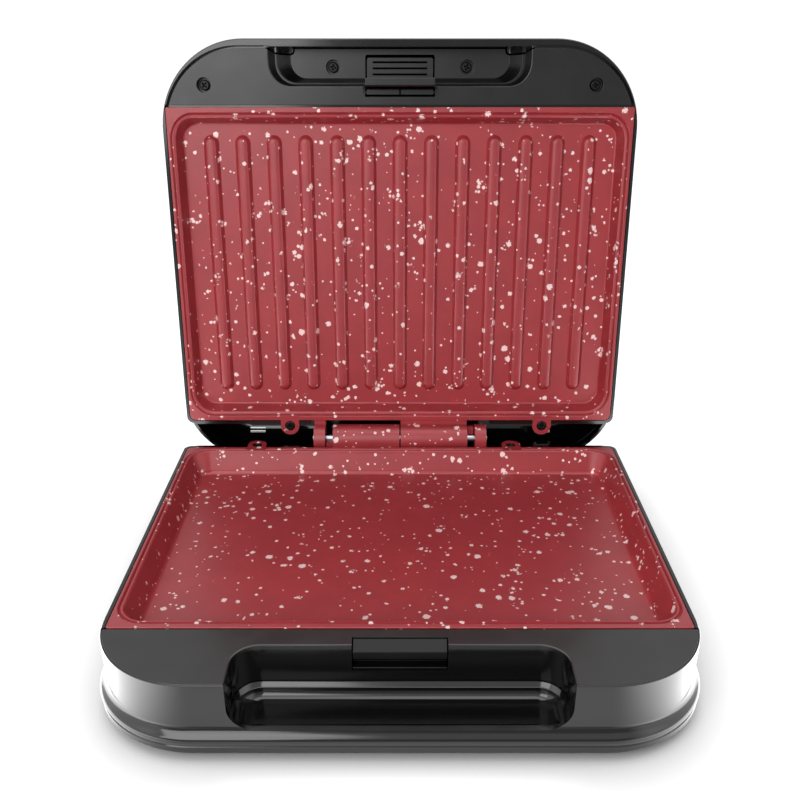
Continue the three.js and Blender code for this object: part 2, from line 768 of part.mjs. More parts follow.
// Moulded wall of the base with its flared skirt, rear tail, plate rim, recess cup and bosses.
function baseHousing() {
  const skirt = skirtRows();
  const top = ledgeDepth;
  const upper = swell(bodyPlan, rising("base", [[top, 0], ...skirt.slice(0, -1)]));
  const tailRows = skirt.filter(([, grow]) => grow > 0);
  const tail = swell(tailPlan, rising("base", [
    [shelfDepth, -edgeRound], [shelfDepth + edgeRound, 0], ...tailRows,
  ]));
  const rim = swell(baseRimPlan, rising("base", [
    [split, -rimInset - edgeRound], [split + edgeRound, -rimInset], [top + edgeRound, -rimInset],
  ]));
  const outer = join(upper, tail, rim);

  const thin = skirt.map(([depth, grow]) => [depth, grow - wall]);
  thin[thin.length - 1] = [housingBottom + overrun, thin[thin.length - 1][1]];
  const upperVoid = swell(bodyPlan, rising("base", [[top + ledgeThickness, -wall], ...thin]));
  const tailThin = thin.filter(([depth]) => depth > shelfDepth + wall);
  const tailVoid = swell(tailPlan, rising("base", [[shelfDepth + wall, -wall], ...tailThin]));
  const trayOpening = slab(platePlan, -top - ledgeThickness - overrun, overrun, -ledgeWidth);
  const plateSeat = slab(platePlan, -top, overrun, seam);
  const deckRoom = slab(bodyPlan, -split - deckThickness - seam, overrun, overrun);
  const deckSeat = ahead(deckRoom, plateFront + seam);
  const shaft = slab(bodyPlan, -top - ledgeThickness - overrun, overrun, -wall);
  const deckOpening = ahead(shaft, deckRear + ledgeWidth);
  const hingeBay = block(-hingeBayHalf, hingeBayHalf, -overrun, hingeBayFront, -hingeBayDepth, overrun);
  let body = cut(outer, upperVoid, tailVoid, trayOpening, plateSeat, deckSeat, deckOpening, hingeBay);

  for (const x of lowerLugs) {
    const bossTop = split + lugThickness + seam;
    const bay = lugBay(x, -bossTop, overrun);
    const boss = post(bossRadius, -bossTop - screwLength, -bossTop, x, lugCentre);
    const hole = post(shankHoleRadius, -bossTop - screwLength - overrun, overrun, x, lugCentre);
    body = cut(body.subtract(bay).add(boss), hole);
  }
  for (const x of [-coverScrewX, coverScrewX]) {
    for (const forwards of [coverScrewRear, coverScrewFront]) {
      const boss = post(bossRadius, -housingBottom, -coverBossTop, x, forwards);
      const holeTop = screwLength - housingBottom;
      const hole = post(shankHoleRadius, -housingBottom - overrun, holeTop, x, forwards);
      body = cut(body.add(boss), hole);
    }
  }
  body = join(body, stopPad(-stopPadX), stopPad(stopPadX));

  const cupTop = split + recessWallDepth + seam;
  const cupBottom = recessFloor + recessWallThickness;
  const cupOuter = slab(recessPlan, -cupBottom, -cupTop, recessWallThickness)
    .intersect(slab(bodyPlan, -cupBottom - overrun, 0, -wall / 2));
  const cupRows = [[split - overrun, -recessLedge], [recessFloor - recessFoot, -recessLedge]];
  for (let i = 1; i <= footSteps; i++) {
    const angle = Math.PI / 2 * i / footSteps;
    const depth = recessFloor - recessFoot * (1 - Math.sin(angle));
    cupRows.push([depth, -recessLedge - recessFoot * (1 - Math.cos(angle))]);
  }
  const rampEnd = baseFront - wall;
  const rampProfile = [[recessLipStart, -cupBottom], [recessLipStart, -recessFloor - edgeRound]];
  for (let i = 0; i <= coveSteps; i++) {
    const share = i / coveSteps;
    const forwards = recessLipStart + share * (rampEnd - recessLipStart);
    rampProfile.push([forwards, -recessFloor + share * share * (recessFloor - recessMouthDepth)]);
  }
  rampProfile.push([rampEnd + overrun, -recessMouthDepth], [rampEnd + overrun, -cupBottom]);
  const ramp = beam(rampProfile, -recessHalfWidth - overrun, recessHalfWidth + overrun);
  const innerOutline = mouthOutline(recessHalfWidth - recessLedge, recessFloor, recessFloorRadius);
  const cupVoid = swell(recessPlan, rising("base", cupRows))
    .intersect(tunnel(innerOutline, recessBack - overrun, rampEnd + edgeRound))
    .subtract(ramp);
  const mouthShape = mouthOutline(recessHalfWidth, recessMouthDepth, recessMouthRadius);
  const mouth = tunnel(mouthShape, rampEnd, baseFront + skirtFlare + overrun);
  return cut(body.add(cupOuter), cupVoid, mouth);
}

// Room for a screw lug of a plate.
function lugBay(x, low, high) {
  return block(x - lugHalfWidth - seam, x + lugHalfWidth + seam, 0, plateRear + rimWidth, low, high);
}

// Cross-section of the finger recess, open at the top, with round lower corners.
function mouthOutline(halfWidth, depth, radius) {
  const points = [[-halfWidth, overrun]];
  const middle = halfWidth - radius;
  for (const [sign, start] of [[-1, 2], [1, 3]]) {
    for (let i = 0; i <= midCorner; i++) {
      const angle = (start + i / midCorner) * Math.PI / 2;
      const x = sign * middle + radius * Math.cos(angle);
      points.push([x, radius - depth + radius * Math.sin(angle)]);
    }
  }
  points.push([halfWidth, overrun]);
  return points;
}

// A pad on the tail that the open lid's heel rests against, sloped to meet it squarely.
function stopPad(x) {
  const reach = heelRear - seam;
  const touch = (away) => {
    const forwards = -(reach * -Math.cos(openAngle) + away * Math.sin(openAngle));
    return [forwards, reach * Math.sin(openAngle) + away * Math.cos(openAngle)];
  };
  const near = touch(stopPadNear);
  const far = touch(stopPadFar);
  const foot = -shelfDepth - edgeRound;
  const profile = [near, far, [far[0], foot], [near[0], foot]];
  return beam(profile, x - stopPadHalfWidth, x + stopPadHalfWidth);
}

// Front deck of the base, with the wall of the finger recess moulded under it.
function baseDeck() {
  const under = split + deckThickness;
  const whole = swell(bodyPlan, rising("base", [[split, -edgeRound], [split + edgeRound, 0], [under, 0]]));
  const plate = ahead(whole, deckRear);
  const ring = slab(bodyPlan, -under - overrun, -under, -wall - seam)
    .subtract(slab(bodyPlan, -under - 2 * overrun, overrun, -2 * wall - seam));
  const spigot = ahead(ring, deckRear + ledgeWidth + seam);
  const recessWall = slab(recessPlan, -split - recessWallDepth, -split - edgeRound, recessWallThickness)
    .intersect(slab(bodyPlan, -split - recessWallDepth - overrun, 0, -wall - seam));
  const opening = swell(recessPlan, rising("base", [
    [split - overrun, edgeRound], [split, edgeRound], [split + edgeRound, 0],
    [split + recessWallDepth + overrun, 0],
  ]));
  const notchHalf = catchHalfWidth + seam;
  const notchPlan = {
    halfWidth: notchHalf, front: recessBack + overrun, rear: catchRampRear - seam,
    frontRadius: leastRadius, rearRadius: notchRadius,
    frontSteps: 1, rearSteps: smallCorner,
  };
  const notch = slab(notchPlan, -split - catchBottom - seam, overrun);
  return cut(join(plate, spigot, recessWall), opening, notch);
}

// Moulded catch behind the recess: a ramp with an undercut for the hook of the latch.
function latchCatch() {
  const down = (forwards, depth) => [forwards, -split - depth];
  const profile = [
    down(catchRampRear, catchRampTop),
    down(catchNose, catchRampFoot),
    down(catchNose, catchUnder),
    down(catchPocketRear, catchUnder),
    down(catchPocketRear, catchPocketFloor),
    down(recessBack, catchPocketFloor),
    down(recessBack, catchBottom),
    down(catchRear, catchBottom),
    down(catchRear, deckThickness + seam),
    down(catchRampRear, deckThickness + seam),
  ];
  return beam(profile, -catchHalfWidth, catchHalfWidth);
}

// Bottom cover with vents, holes for the feet and counterbored screw holes.
function bottomCover() {
  const foot = skirtFlare - skirtFoot - coverInset;
  const bottom = coverTop + coverThickness;
  const plate = swell(tailPlan, rising("base", [
    [coverTop, foot], [bottom - edgeRound, foot], [bottom, foot - edgeRound],
  ]));
  const terminalX0 = -glandX - terminalLength;
  const terminalX1 = -glandX + terminalLength;
  const upstand = cut(
    slab(tailPlan, -coverTop, -coverTop + 2 * wall, foot - 2 * wall),
    slab(tailPlan, -coverTop - overrun, 0, foot - 3 * wall),
    slab(recessPlan, -coverTop, 0, 2 * wall),
    block(terminalX0, terminalX1, tailRear - overrun, 0, -coverTop, 0),
  );
  let body = plate.add(upstand);
  for (const [x, forwards] of footPlaces()) {
    const stem = post(footStemRadius + seam, -bottom - overrun, overrun - coverTop, x, forwards);
    body = body.subtract(stem);
  }
  for (const [x, forwards] of coverScrewPlaces()) {
    const room = post(bossRadius + seam, -coverTop, 0, x, forwards);
    const shank = post(shankHoleRadius, -bottom - overrun, 0, x, forwards);
    const head = post(headHoleRadius, -bottom - overrun, -bottom + coverThickness / 2, x, forwards);
    body = cut(body, room, shank, head);
  }
  for (const sign of [-1, 1]) {
    for (let i = 0; i < ventCount; i++) {
      const forwards = ventMiddle + (i - (ventCount - 1) / 2) * ventPitch;
      const [x0, x1] = [sign * ventX - ventLength / 2, sign * ventX + ventLength / 2];
      const [rear, front] = [forwards - ventWidth / 2, forwards + ventWidth / 2];
      body = body.subtract(block(x0, x1, rear, front, -bottom - overrun, overrun - coverTop));
    }
  }
  return body;
}

function footPlaces() {
  return [[-footX, footFront], [footX, footFront], [-footX, footRear], [footX, footRear]];
}

function coverScrewPlaces() {
  return [
    [-coverScrewX, coverScrewFront], [coverScrewX, coverScrewFront],
    [-coverScrewX, coverScrewRear], [coverScrewX, coverScrewRear],
  ];
}

// Rubber foot drawn about its own axis, with the underside of the bottom cover at height zero.
function rubberFoot() {
  return turned([
    [0, -footHeight - seam], [footRadius - edgeRound * 3, -footHeight - seam],
    [footRadius - edgeRound, -footHeight - seam + edgeRound], [footRadius, -seam],
    [footStemRadius, -seam], [footStemRadius, coverThickness + seam], [0, coverThickness + seam],
  ], 0, 0, roundSteps);
}

// Outer rows of the lid: a slightly drafted side, a round shoulder and a low crown.
function lidRows(inset, lowest) {
  const rows = [[lowest, -inset], [lidSide, -lidDraft - inset]];
  const radius = lidShoulder;
  for (let i = 1; i <= coveSteps; i++) {
    const angle = Math.PI / 2 * i / coveSteps;
    const grow = -lidDraft - inset - radius * (1 - Math.cos(angle));
    rows.push([lidSide + (radius - inset) * Math.sin(angle), grow]);
  }
  for (let i = 1; i <= coveSteps; i++) {
    const share = i / coveSteps;
    const rise = lidCrownRise * (1 - (1 - share) * (1 - share));
    rows.push([lidSide + radius - inset + rise, -lidDraft - inset - radius - lidCrown * share]);
  }
  return rows;
}

// Moulded shell of the lid, open towards the plates, with its heel, hand lip, bosses and lamp sleeves.
function lidShell() {
  const edge = split + edgeRound;
  const outer = swell(lidPlan, [[split, -edgeRound], ...lidRows(0, edge)]);
  const rim = swell(lidRimPlan, [
    [split, -rimInset - edgeRound], [edge, -rimInset], [lidRimHeight, -rimInset],
  ]);
  const whole = outer.add(rim);
  const rimTop = lidRimHeight + overrun;
  const rearOpening = slab(lidPlan, -overrun, rimTop, -wall)
    .intersect(block(-bodyHalfWidth, bodyHalfWidth, heelRear, rimRear, -overrun, rimTop));
  const frameRoom = slab(framePlan, -overrun, split + frameThickness + seam, seam);
  const bayRear = heelRear + wall;
  let body = cut(
    whole,
    swell(lidPlan, lidRows(wall, lidRimHeight)),
    rearOpening,
    slab(platePlan, -overrun, ledgeDepth, seam),
    slab(platePlan, -overrun, rimTop, -ledgeWidth),
    slab(lidRimPlan, ledgeDepth + ledgeThickness, rimTop, -wall),
    ahead(frameRoom, plateFront + seam),
    ahead(slab(framePlan, -overrun, rimTop, -ledgeWidth), deckRear + ledgeWidth),
    block(-hingeBayHalf, hingeBayHalf, bayRear, hingeBayFront, -overrun, hingeBayDepth),
  );
  for (const x of upperLugs) body = body.subtract(lugBay(x, -overrun, split + lugThickness + seam));

  const lipInner = frameFront + seam;
  const lipHalf = recessHalfWidth + recessWallThickness;
  const lip = block(-lipHalf, lipHalf, lipInner, lidFront - wall / 2, edge, lipHeight);
  const reliefRear = frameFront - ledgeWidth - overrun;
  const relief = block(-lipHalf - seam, lipHalf + seam, reliefRear, lipInner, -overrun, rimTop);
  body = body.add(lip).subtract(relief);
  for (const sign of [-1, 1]) {
    const inward = sign * (recessHalfWidth - tabWidth);
    const [x0, x1] = [inward, sign * (recessHalfWidth - tabInset)].sort((a, b) => a - b);
    body = body.add(block(x0, x1, lipInner - tabDepth, lipInner + seam, edge, split + tabThickness));
  }
  const roof = lidTop - wall / 2;
  for (const [x, forwards, foot] of lidBossPlaces()) {
    const boss = post(bossRadius, foot, roof, x, forwards);
    const hole = post(shankHoleRadius, foot - overrun, foot + pilotDepth, x, forwards);
    body = cut(body.add(boss), hole);
  }
  for (const x of [-lampX, lampX]) {
    const foot = lidTop - sleeveHeight;
    const sleeve = post(sleeveRadius, foot, roof, x, lampFront, roundSteps);
    const hole = post(lensRadius + seam, foot - overrun, lidTop + overrun, x, lampFront, roundSteps);
    body = cut(body.add(sleeve), hole);
  }
  for (const sign of [-1, 1]) {
    const [x0, x1] = [sign * heelSlotInner, sign * heelSlotOuter].sort((a, b) => a - b);
    const upperSlot = block(x0, x1, heelSlotRear, heelSlotFront, heelSlotBase, lidTop + overrun);
    const [x2, x3] = [sign * heelSlotInner, sign * rearSlotOuter].sort((a, b) => a - b);
    const rearSlot = block(x2, x3, heelRear - overrun, heelRear + 2 * wall, rearSlotLow, rearSlotHigh);
    body = cut(body, upperSlot, rearSlot);
  }
  return body.intersect(whole);
}

// Every boss in the lid: its place and the height of the end that faces the plates.
function lidBossPlaces() {
  const lugFoot = split + lugThickness + seam;
  const sideFoot = frameBossEnd(split) + seam;
  const pocketFoot = frameBossEnd(split + pocketDepth) + seam;
  return [
    ...upperLugs.map((x) => [x, lugCentre, lugFoot]),
    ...[-sideScrewX, sideScrewX].map((x) => [x, sideScrewFront, sideFoot]),
    ...[-pocketScrewX, pocketScrewX].map((x) => [x, pocketScrewFront, pocketFoot]),
  ];
}

// The far end of a screw boss of the frame whose mouth is at a height.
function frameBossEnd(mouth) {
  return mouth + screwHeadHeight + 2 * wall;
}

// Outline of the finger pocket: share 0 is its mouth and share 1 is the edge of its floor.
function pocketOutline(share, grow = 0) {
  const mix = (mouth, floor) => mouth + share * (floor - mouth);
  return outline({
    halfWidth: mix(recessHalfWidth, pocketFloorHalfWidth),
    front: lidFront + frontCornerRadius,
    rear: mix(pocketBack, pocketFloorBack),
    frontRadius: leastRadius,
    rearRadius: mix(recessRadius, pocketFloorRadius),
    frontSteps: 1,
    rearSteps: midCorner,
  }, grow);
}

// Frame in the front of the lid, with the finger pocket, screw wells and the window of the latch.
function lidFrame() {
  const face = split;
  const back = split + frameThickness;
  const floor = split + pocketDepth;
  const floorBack = floor + pocketFloorThickness;
  const sheet = swell(framePlan, [[face, -seam - edgeRound], [face + edgeRound, -seam], [back, -seam]]);
  const plate = ahead(sheet, deckRear);
  const cupOuter = loft([
    { points: pocketOutline(0, recessWallThickness), z: face + edgeRound },
    { points: pocketOutline(pocketSteepShare, recessWallThickness), z: face + pocketSteepHeight },
    { points: pocketOutline(1, recessWallThickness), z: floor },
    { points: pocketOutline(1, recessWallThickness), z: floorBack },
  ]).intersect(block(-bodyHalfWidth, bodyHalfWidth, deckRear, frameFront, 0, floorBack + overrun));
  const cupVoid = loft([
    { points: pocketOutline(0, edgeRound), z: face - overrun },
    { points: pocketOutline(0, edgeRound), z: face },
    { points: pocketOutline(0), z: face + edgeRound },
    { points: pocketOutline(pocketSteepShare), z: face + pocketSteepHeight },
    { points: pocketOutline(1), z: floor },
  ]);
  let body = cut(plate.add(cupOuter), cupVoid);
  for (const [x, forwards, mouth] of frameScrewPlaces()) {
    const end = frameBossEnd(mouth);
    const boss = post(bossRadius, mouth + edgeRound, end, x, forwards);
    const head = post(headHoleRadius, mouth - overrun, end - wall, x, forwards, roundSteps);
    const shank = post(shankHoleRadius, mouth, end + overrun, x, forwards);
    body = cut(body.add(boss), head, shank);
  }
  const room = latchHalfWidth + 2 * seam;
  const top = floorBack + overrun;
  const buttonHole = block(-room, room, pocketBack - seam, buttonFront + buttonSwing, floor - overrun, top);
  const stemHole = block(-room, room, hookNose - seam, buttonRear + overrun, -overrun, top);
  const windowTop = back + overrun;
  const ribFrontEnd = hookNose - 2 * seam;
  const windowHole = block(-room, room, windowRear, hookNose, -overrun, windowTop)
    .subtract(block(-windowRib / 2, windowRib / 2, windowRear, ribFrontEnd, -overrun, windowTop));
  body = cut(body, buttonHole, stemHole, windowHole);
  const earTop = latchPinHeight + latchBarrelRadius;
  const eyeRadius = latchPinRadius + seam;
  for (const sign of [-1, 1]) {
    const [x0, x1] = [sign * room, sign * (room + latchEarThickness)].sort((a, b) => a - b);
    const half = latchBarrelRadius + seam;
    const ear = block(x0, x1, latchPinFront - half, latchPinFront + 2 * half, floor, earTop);
    const eye = rod(eyeRadius, x0 - overrun, x1 + overrun, latchPinFront, latchPinHeight, smallSteps);
    body = body.add(ear).subtract(eye);
  }
  return body;
}

// Places of the four frame screws and the height of the mouth of each well.
function frameScrewPlaces() {
  const pocketFloor = split + pocketDepth;
  return [
    [-sideScrewX, sideScrewFront, split],
    [sideScrewX, sideScrewFront, split],
    [-pocketScrewX, pocketScrewFront, pocketFloor],
    [pocketScrewX, pocketScrewFront, pocketFloor],
  ];
}

// Latch lever: grooved button, stem, hook and the barrel that turns on the pin.
function latchLever() {
  const half = latchHalfWidth;
  const face = split + pocketDepth - buttonProud;
  const back = face + buttonThickness;
  const button = block(-half, half, stemRear, buttonFront, face, back);
  const stem = block(-half, half, stemRear, stemFront, -split - hookBottom, back);
  const nose = beam([
    [stemFront, -split - hookBottom],
    [stemFront, -split - hookTop],
    [hookNose, -split - hookTop],
    [hookNose, -split - (hookTop + hookBottom) / 2],
    [stemRear, -split - hookBottom],
  ], -half, half);
  const barrel = rod(latchBarrelRadius, -half, half, latchPinFront, latchPinHeight, smallSteps);
  const neckHalf = latchBarrelRadius / 2;
  const neckRear = latchPinFront - neckHalf;
  const neck = block(-half, half, neckRear, latchPinFront + neckHalf, face + edgeRound, latchPinHeight);
  let body = join(button, stem, nose, barrel, neck);
  const middle = (stemFront + buttonFront) / 2;
  for (let i = 0; i < gripGrooves; i++) {
    const forwards = middle + (i - (gripGrooves - 1) / 2) * gripPitch;
    const [rear, front] = [forwards - gripWidth / 2, forwards + gripWidth / 2];
    const groove = block(-gripHalfWidth, gripHalfWidth, rear, front, face - overrun, face + gripWidth);
    body = body.subtract(groove);
  }
  const boreEnd = half + overrun;
  const boreRadius = latchPinRadius + seam;
  const bore = rod(boreRadius, -boreEnd, boreEnd, latchPinFront, latchPinHeight, smallSteps);
  const [bayRear, bayFront] = [latchPinFront - springRoom, latchPinFront + springRoom];
  const bay = block(-springRoom, springRoom, bayRear, bayFront, back, latchPinHeight + springRoom);
  return cut(body, bore, bay);
}

// Pin that the latch lever turns on, held in the ears of the frame.
function latchPin() {
  const reach = latchHalfWidth + 2 * seam + latchEarThickness;
  return rod(latchPinRadius, -reach, reach, latchPinFront, latchPinHeight, smallSteps);
}

// Spring wound round the latch pin: one leg lies on the button, the other bears on the roof of the lid.
function latchSpring() {
  const legHeight = latchPinHeight - springRadius;
  const points = [new THREE.Vector3(-springReach, -springLegFront, legHeight)];
  const turns = springHalfTurns * springSteps;
  for (let i = 0; i <= turns; i++) {
    const angle = Math.PI * i / springSteps;
    const x = springReach * (2 * i / turns - 1);
    const y = -latchPinFront + springRadius * Math.sin(angle);
    points.push(new THREE.Vector3(x, y, latchPinHeight - springRadius * Math.cos(angle)));
  }
  points.push(new THREE.Vector3(springReach, -springKneeFront, springKneeHeight));
  points.push(new THREE.Vector3(springReach, -springTipFront, springTipHeight));
  const path = new THREE.CatmullRomCurve3(points, false, "centripetal");
  return tube(path, springWire, springSides, turns + springSteps);
}

// Lens of an indicator lamp, drawn in place in the crown of the lid.
function lampLens(x) {
  return turned([
    [0, lidTop - sleeveHeight / 2], [lensRadius, lidTop - sleeveHeight / 2], [lensRadius, lidTop + seam],
    [lensFlange, lidTop + seam], [lensFlange - edgeRound, lidTop + seam + lensProud / 2],
    [lensFlange / 2, lidTop + seam + lensProud], [0, lidTop + seam + lensProud],
  ], x, lampFront, roundSteps);
}

// Neon lamp inside a sleeve under its lens.
function lampBulb(x) {
  const top = lidTop - sleeveHeight / 2 - seam;
  const foot = top - lampLength;
  return turned([
    [0, foot], [lampRadius, foot], [lampRadius, top - lampRadius / 2], [lampRadius / 2, top], [0, top],
  ], x, lampFront);
}

// Bush in the rear wall that the supply lead enters by.
function cordGland() {
  const outerFace = -(tailRear - skirtFlare) + seam;
  const innerFace = -tailRear - wall - glandInner / 2;
  const profile = [
    [glandBore, innerFace], [glandRadius, innerFace], [glandRadius, outerFace],
    [glandFlange, outerFace], [glandFlange, outerFace + glandFlangeThickness / 2],
    [glandRadius, outerFace + glandFlangeThickness], [glandBore, outerFace + glandFlangeThickness],
    [glandBore, innerFace],
  ];
  const points = profile.map(([radius, along]) => new THREE.Vector2(radius, along));
  const geometry = new THREE.LatheGeometry(points, roundSteps);
  geometry.translate(-glandX, 0, -glandDepth);
  return solidOf(geometry);
}

// The hole that the cord gland sits in.
function glandHole() {
  const radius = glandRadius + seam;
  const hole = new THREE.CylinderGeometry(radius, radius, 2 * glandInner, roundSteps);
  hole.translate(-glandX, -tailRear, -glandDepth);
  return solidOf(hole);
}

// Hinge pin through all four knuckles.
function hingePin() {
  const end = knuckleEnd + pinOverhang;
  return rod(pinRadius, -end + edgeRound, end - edgeRound, 0, 0);
}

// Snap thermostat held under the middle of the lower plate.
function thermostat() {
  const near = split + lowerTrayDepth + trayThickness + seam;
  const far = near + 2 * elementRadius - seam;
  const halfLength = thermostatLength / 2;
  const halfWidth = thermostatWidth / 2;
  const [rear, front] = [thermostatFront - halfWidth, thermostatFront + halfWidth];
  const carrier = block(-halfLength, halfLength, rear, front, -far, -near - 2 * seam);
  const disc = post(halfWidth - seam, -far + seam, -near, 0, thermostatFront, roundSteps);
  return carrier.add(disc);
}

// Thermal fuse in its sleeve, beside the thermostat.
function thermalFuse() {
  const depth = split + lowerTrayDepth + trayThickness + seam + fuseRadius;
  return rod(fuseRadius, fuseX, fuseX + fuseLength, thermostatFront, -depth, smallSteps);
}

// Terminal block on the bottom cover, behind the hinge.
function terminalBlock() {
  const foot = -coverTop + seam;
  const top = foot + terminalHeight;
  const [x0, x1] = [-terminalX - terminalLength / 2, -terminalX + terminalLength / 2];
  const [rear, front] = [terminalRear - terminalWidth / 2, terminalRear + terminalWidth / 2];
  let body = block(x0, x1, rear, front, foot, top);
  for (const share of [-1, 0, 1]) {
    const x = -terminalX + share * terminalLength / 3;
    const low = top - terminalHeight / 2;
    body = body.subtract(post(screwHeadRadius * headCrown, low, top + overrun, x, terminalRear));
  }
  return body;
}

const base = new THREE.Group();
base.add(part("base_housing", baseHousing().subtract(glandHole()), housingPlastic));
base.add(part("base_deck", baseDeck(), framePlastic));
base.add(part("latch_catch", latchCatch(), framePlastic));
base.add(part("bottom_cover", bottomCover(), darkPlastic));
base.add(part("lower_plate", plate("base", lowerKnuckles, lowerLugs), coating));
base.add(part("hinge_pin", hingePin(), zincSteel));
base.add(part("lower_heating_element", element("base"), sheathSteel));
base.add(part("lower_heat_shield", shield("base"), shieldSheet));
base.add(part("thermostat", thermostat(), ceramic));
base.add(part("thermal_fuse", thermalFuse(), ceramic));
base.add(part("terminal_block", terminalBlock(), ceramic));
base.add(part("cord_gland", cordGland(), darkPlastic));
footPlaces().forEach(([x, forwards], i) => {
  const foot = part(`foot_${i + 1}`, rubberFoot(), footRubber);
  foot.position.set(x, -forwards, -coverTop - coverThickness);
  base.add(foot);
});
coverScrewPlaces().forEach(([x, forwards], i) => {
  const seat = -coverTop - coverThickness / 2 - seam;
  base.add(part(`cover_screw_${i + 1}`, screw(seat, -1, x, forwards), zincSteel));
});
lowerLugs.forEach((x, i) => {
  const seat = -split - lugCounterbore + seam;
  base.add(part(`lower_plate_screw_${i + 1}`, screw(seat, 1, x, lugCentre), blackSteel));
});

const lid = new THREE.Group();
lid.rotation.x = -openAngle;
lid.add(part("lid_shell", lidShell(), housingPlastic));
lid.add(part("lid_frame", lidFrame(), framePlastic));
lid.add(part("upper_plate", join(plate("lid", upperKnuckles, upperLugs), ...ribs()), coating));
lid.add(part("upper_heating_element", element("lid"), sheathSteel));
lid.add(part("upper_heat_shield", shield("lid"), shieldSheet));
upperLugs.forEach((x, i) => {
  const seat = split + lugCounterbore - seam;
  lid.add(part(`upper_plate_screw_${i + 1}`, screw(seat, -1, x, lugCentre), blackSteel));
});
frameScrewPlaces().forEach(([x, forwards, mouth], i) => {
  const seat = frameBossEnd(mouth) - wall - seam;
  lid.add(part(`frame_screw_${i + 1}`, screw(seat, -1, x, forwards), blackSteel));
});
lid.add(part("power_lens", lampLens(-lampX), redLens));
lid.add(part("ready_lens", lampLens(lampX), greenLens));
lid.add(part("power_lamp", lampBulb(-lampX), lampGlass));
lid.add(part("ready_lamp", lampBulb(lampX), lampGlass));
lid.add(part("latch_pin", latchPin(), zincSteel));
lid.add(part("latch_spring", latchSpring(), zincSteel));
lid.add(part("latch_lever", latchLever(), framePlastic));

// The origin is on the ground, under the middle of the open grill's box.
const grill = new THREE.Group();
grill.add(base, lid);
const box = new THREE.Box3().setFromObject(grill, true);
grill.position.set(0, -(box.min.y + box.max.y) / 2, -box.min.z);
grill.updateMatrixWorld(true);

export default grill;
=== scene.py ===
"""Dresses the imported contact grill: smooth mouldings, coated plates, screws and a pale studio.

Every piece is drawn in millimetres about the hinge axis, with height zero where the two plates
meet, and the lid's pieces are drawn closed. place() turns them open and puts them where the frame
has them. Front and rear are distances forwards from the hinge: a point at distance d is at y = -d.
Rows are (depth or height, growth) pairs, where growth is how far a plan's outline moves outwards.
"""

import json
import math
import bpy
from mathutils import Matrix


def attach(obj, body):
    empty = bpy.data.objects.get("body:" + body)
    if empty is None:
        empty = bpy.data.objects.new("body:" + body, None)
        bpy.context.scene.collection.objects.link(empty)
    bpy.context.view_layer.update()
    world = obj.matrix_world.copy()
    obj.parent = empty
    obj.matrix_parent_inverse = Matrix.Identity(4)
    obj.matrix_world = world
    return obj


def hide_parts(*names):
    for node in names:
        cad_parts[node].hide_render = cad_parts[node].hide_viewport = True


bl_info = {
    "name": "Contact Grill",
    "version": (1, 0, 0),
    "blender": (4, 5, 0),
    "location": "3D View > Sidebar > Grill",
    "description": "Builds the mouldings, plates, fasteners and studio of a contact grill",
    "category": "Object",
}

import bmesh
import bpy
from mathutils import Matrix, Vector

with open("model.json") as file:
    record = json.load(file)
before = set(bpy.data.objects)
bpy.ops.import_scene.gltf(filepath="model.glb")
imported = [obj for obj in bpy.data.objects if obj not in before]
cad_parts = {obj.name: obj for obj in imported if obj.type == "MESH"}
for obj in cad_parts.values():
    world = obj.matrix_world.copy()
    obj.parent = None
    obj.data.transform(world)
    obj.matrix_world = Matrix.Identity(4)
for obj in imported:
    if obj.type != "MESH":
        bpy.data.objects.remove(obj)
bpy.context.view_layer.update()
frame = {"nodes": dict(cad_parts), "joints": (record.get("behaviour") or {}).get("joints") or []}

# The joint that opens the lid gives the hinge's place and the opening angle.
LID_JOINT = next(joint for joint in frame["joints"] if joint["name"] == "lid_hinge")
HINGE = Vector(LID_JOINT["pos_m"])
OPEN_ANGLE = math.radians(LID_JOINT["range_deg"][1])
MM = 0.001

# Whole grill, in millimetres
BODY_HALF = 140.0
BASE_FRONT = 244.5
LID_FRONT = 240.3
BASE_CORNER = 48.0
LID_CORNER = 50.0
SPLIT = 0.3
SEAM = 0.3  # between neighbouring pieces
DARK_GAP = 1.35
WALL = 2.4
OVER = 2.0  # how far a cutter reaches past a face
BITE = 0.5  # how far joined solids overlap
LEAST = 0.3  # least radius or thickness
QUARTER = math.pi / 2

# Rounded edges: least angle between their faces, in degrees, and segments
MOULDED_EDGE = (50.0, 2)
CATCH_EDGE = (30.0, 3)
LEVER_EDGE = (35.0, 3)
KNUCKLE_EDGE = (40.0, 3)
SCREW_EDGE = (40.0, 1)

# Facets on round forms
BIG = 26
MID = 12
SMALL = 5
ROUND = 48

# Plates
PLATE_HALF = 137.4
TRAY_HALF = 134.7
PLATE_REAR = 12.3
PLATE_FRONT = 203.6
FLANGE = 3.0
RIM = 4.0
PLATE_LIP = 0.4
PLATE_EDGE = [(FLANGE, -0.9), (1.0, -0.9), (0.7, 0.0)]
TRAY_RADIUS = 14.0
GROOVE = 0.6
GROOVE_CENTRE = 0.3
GROOVE_DEPTH = 1.1
GROOVE_RUN = 1.35
BEAD = 1.6
WALL_RUN = {"base": 3.8, "lid": 2.3}
TRAY_FOOT = {"base": 2.5, "lid": 1.2}
TRAY_SKIN = 3.0
TRAY_DEPTH = {"base": 14.0, "lid": 10.0}
RIB_HALF = 4.4
RIB_REAR = 30.7
RIB_FRONT = 188.0
RIB_FOOT = 0.35
RIB_SLANT = 1.3
RIB_SHOULDER = 0.65
RIB_ROOT = 0.5
RIB_TOP_LEFT = 0.36

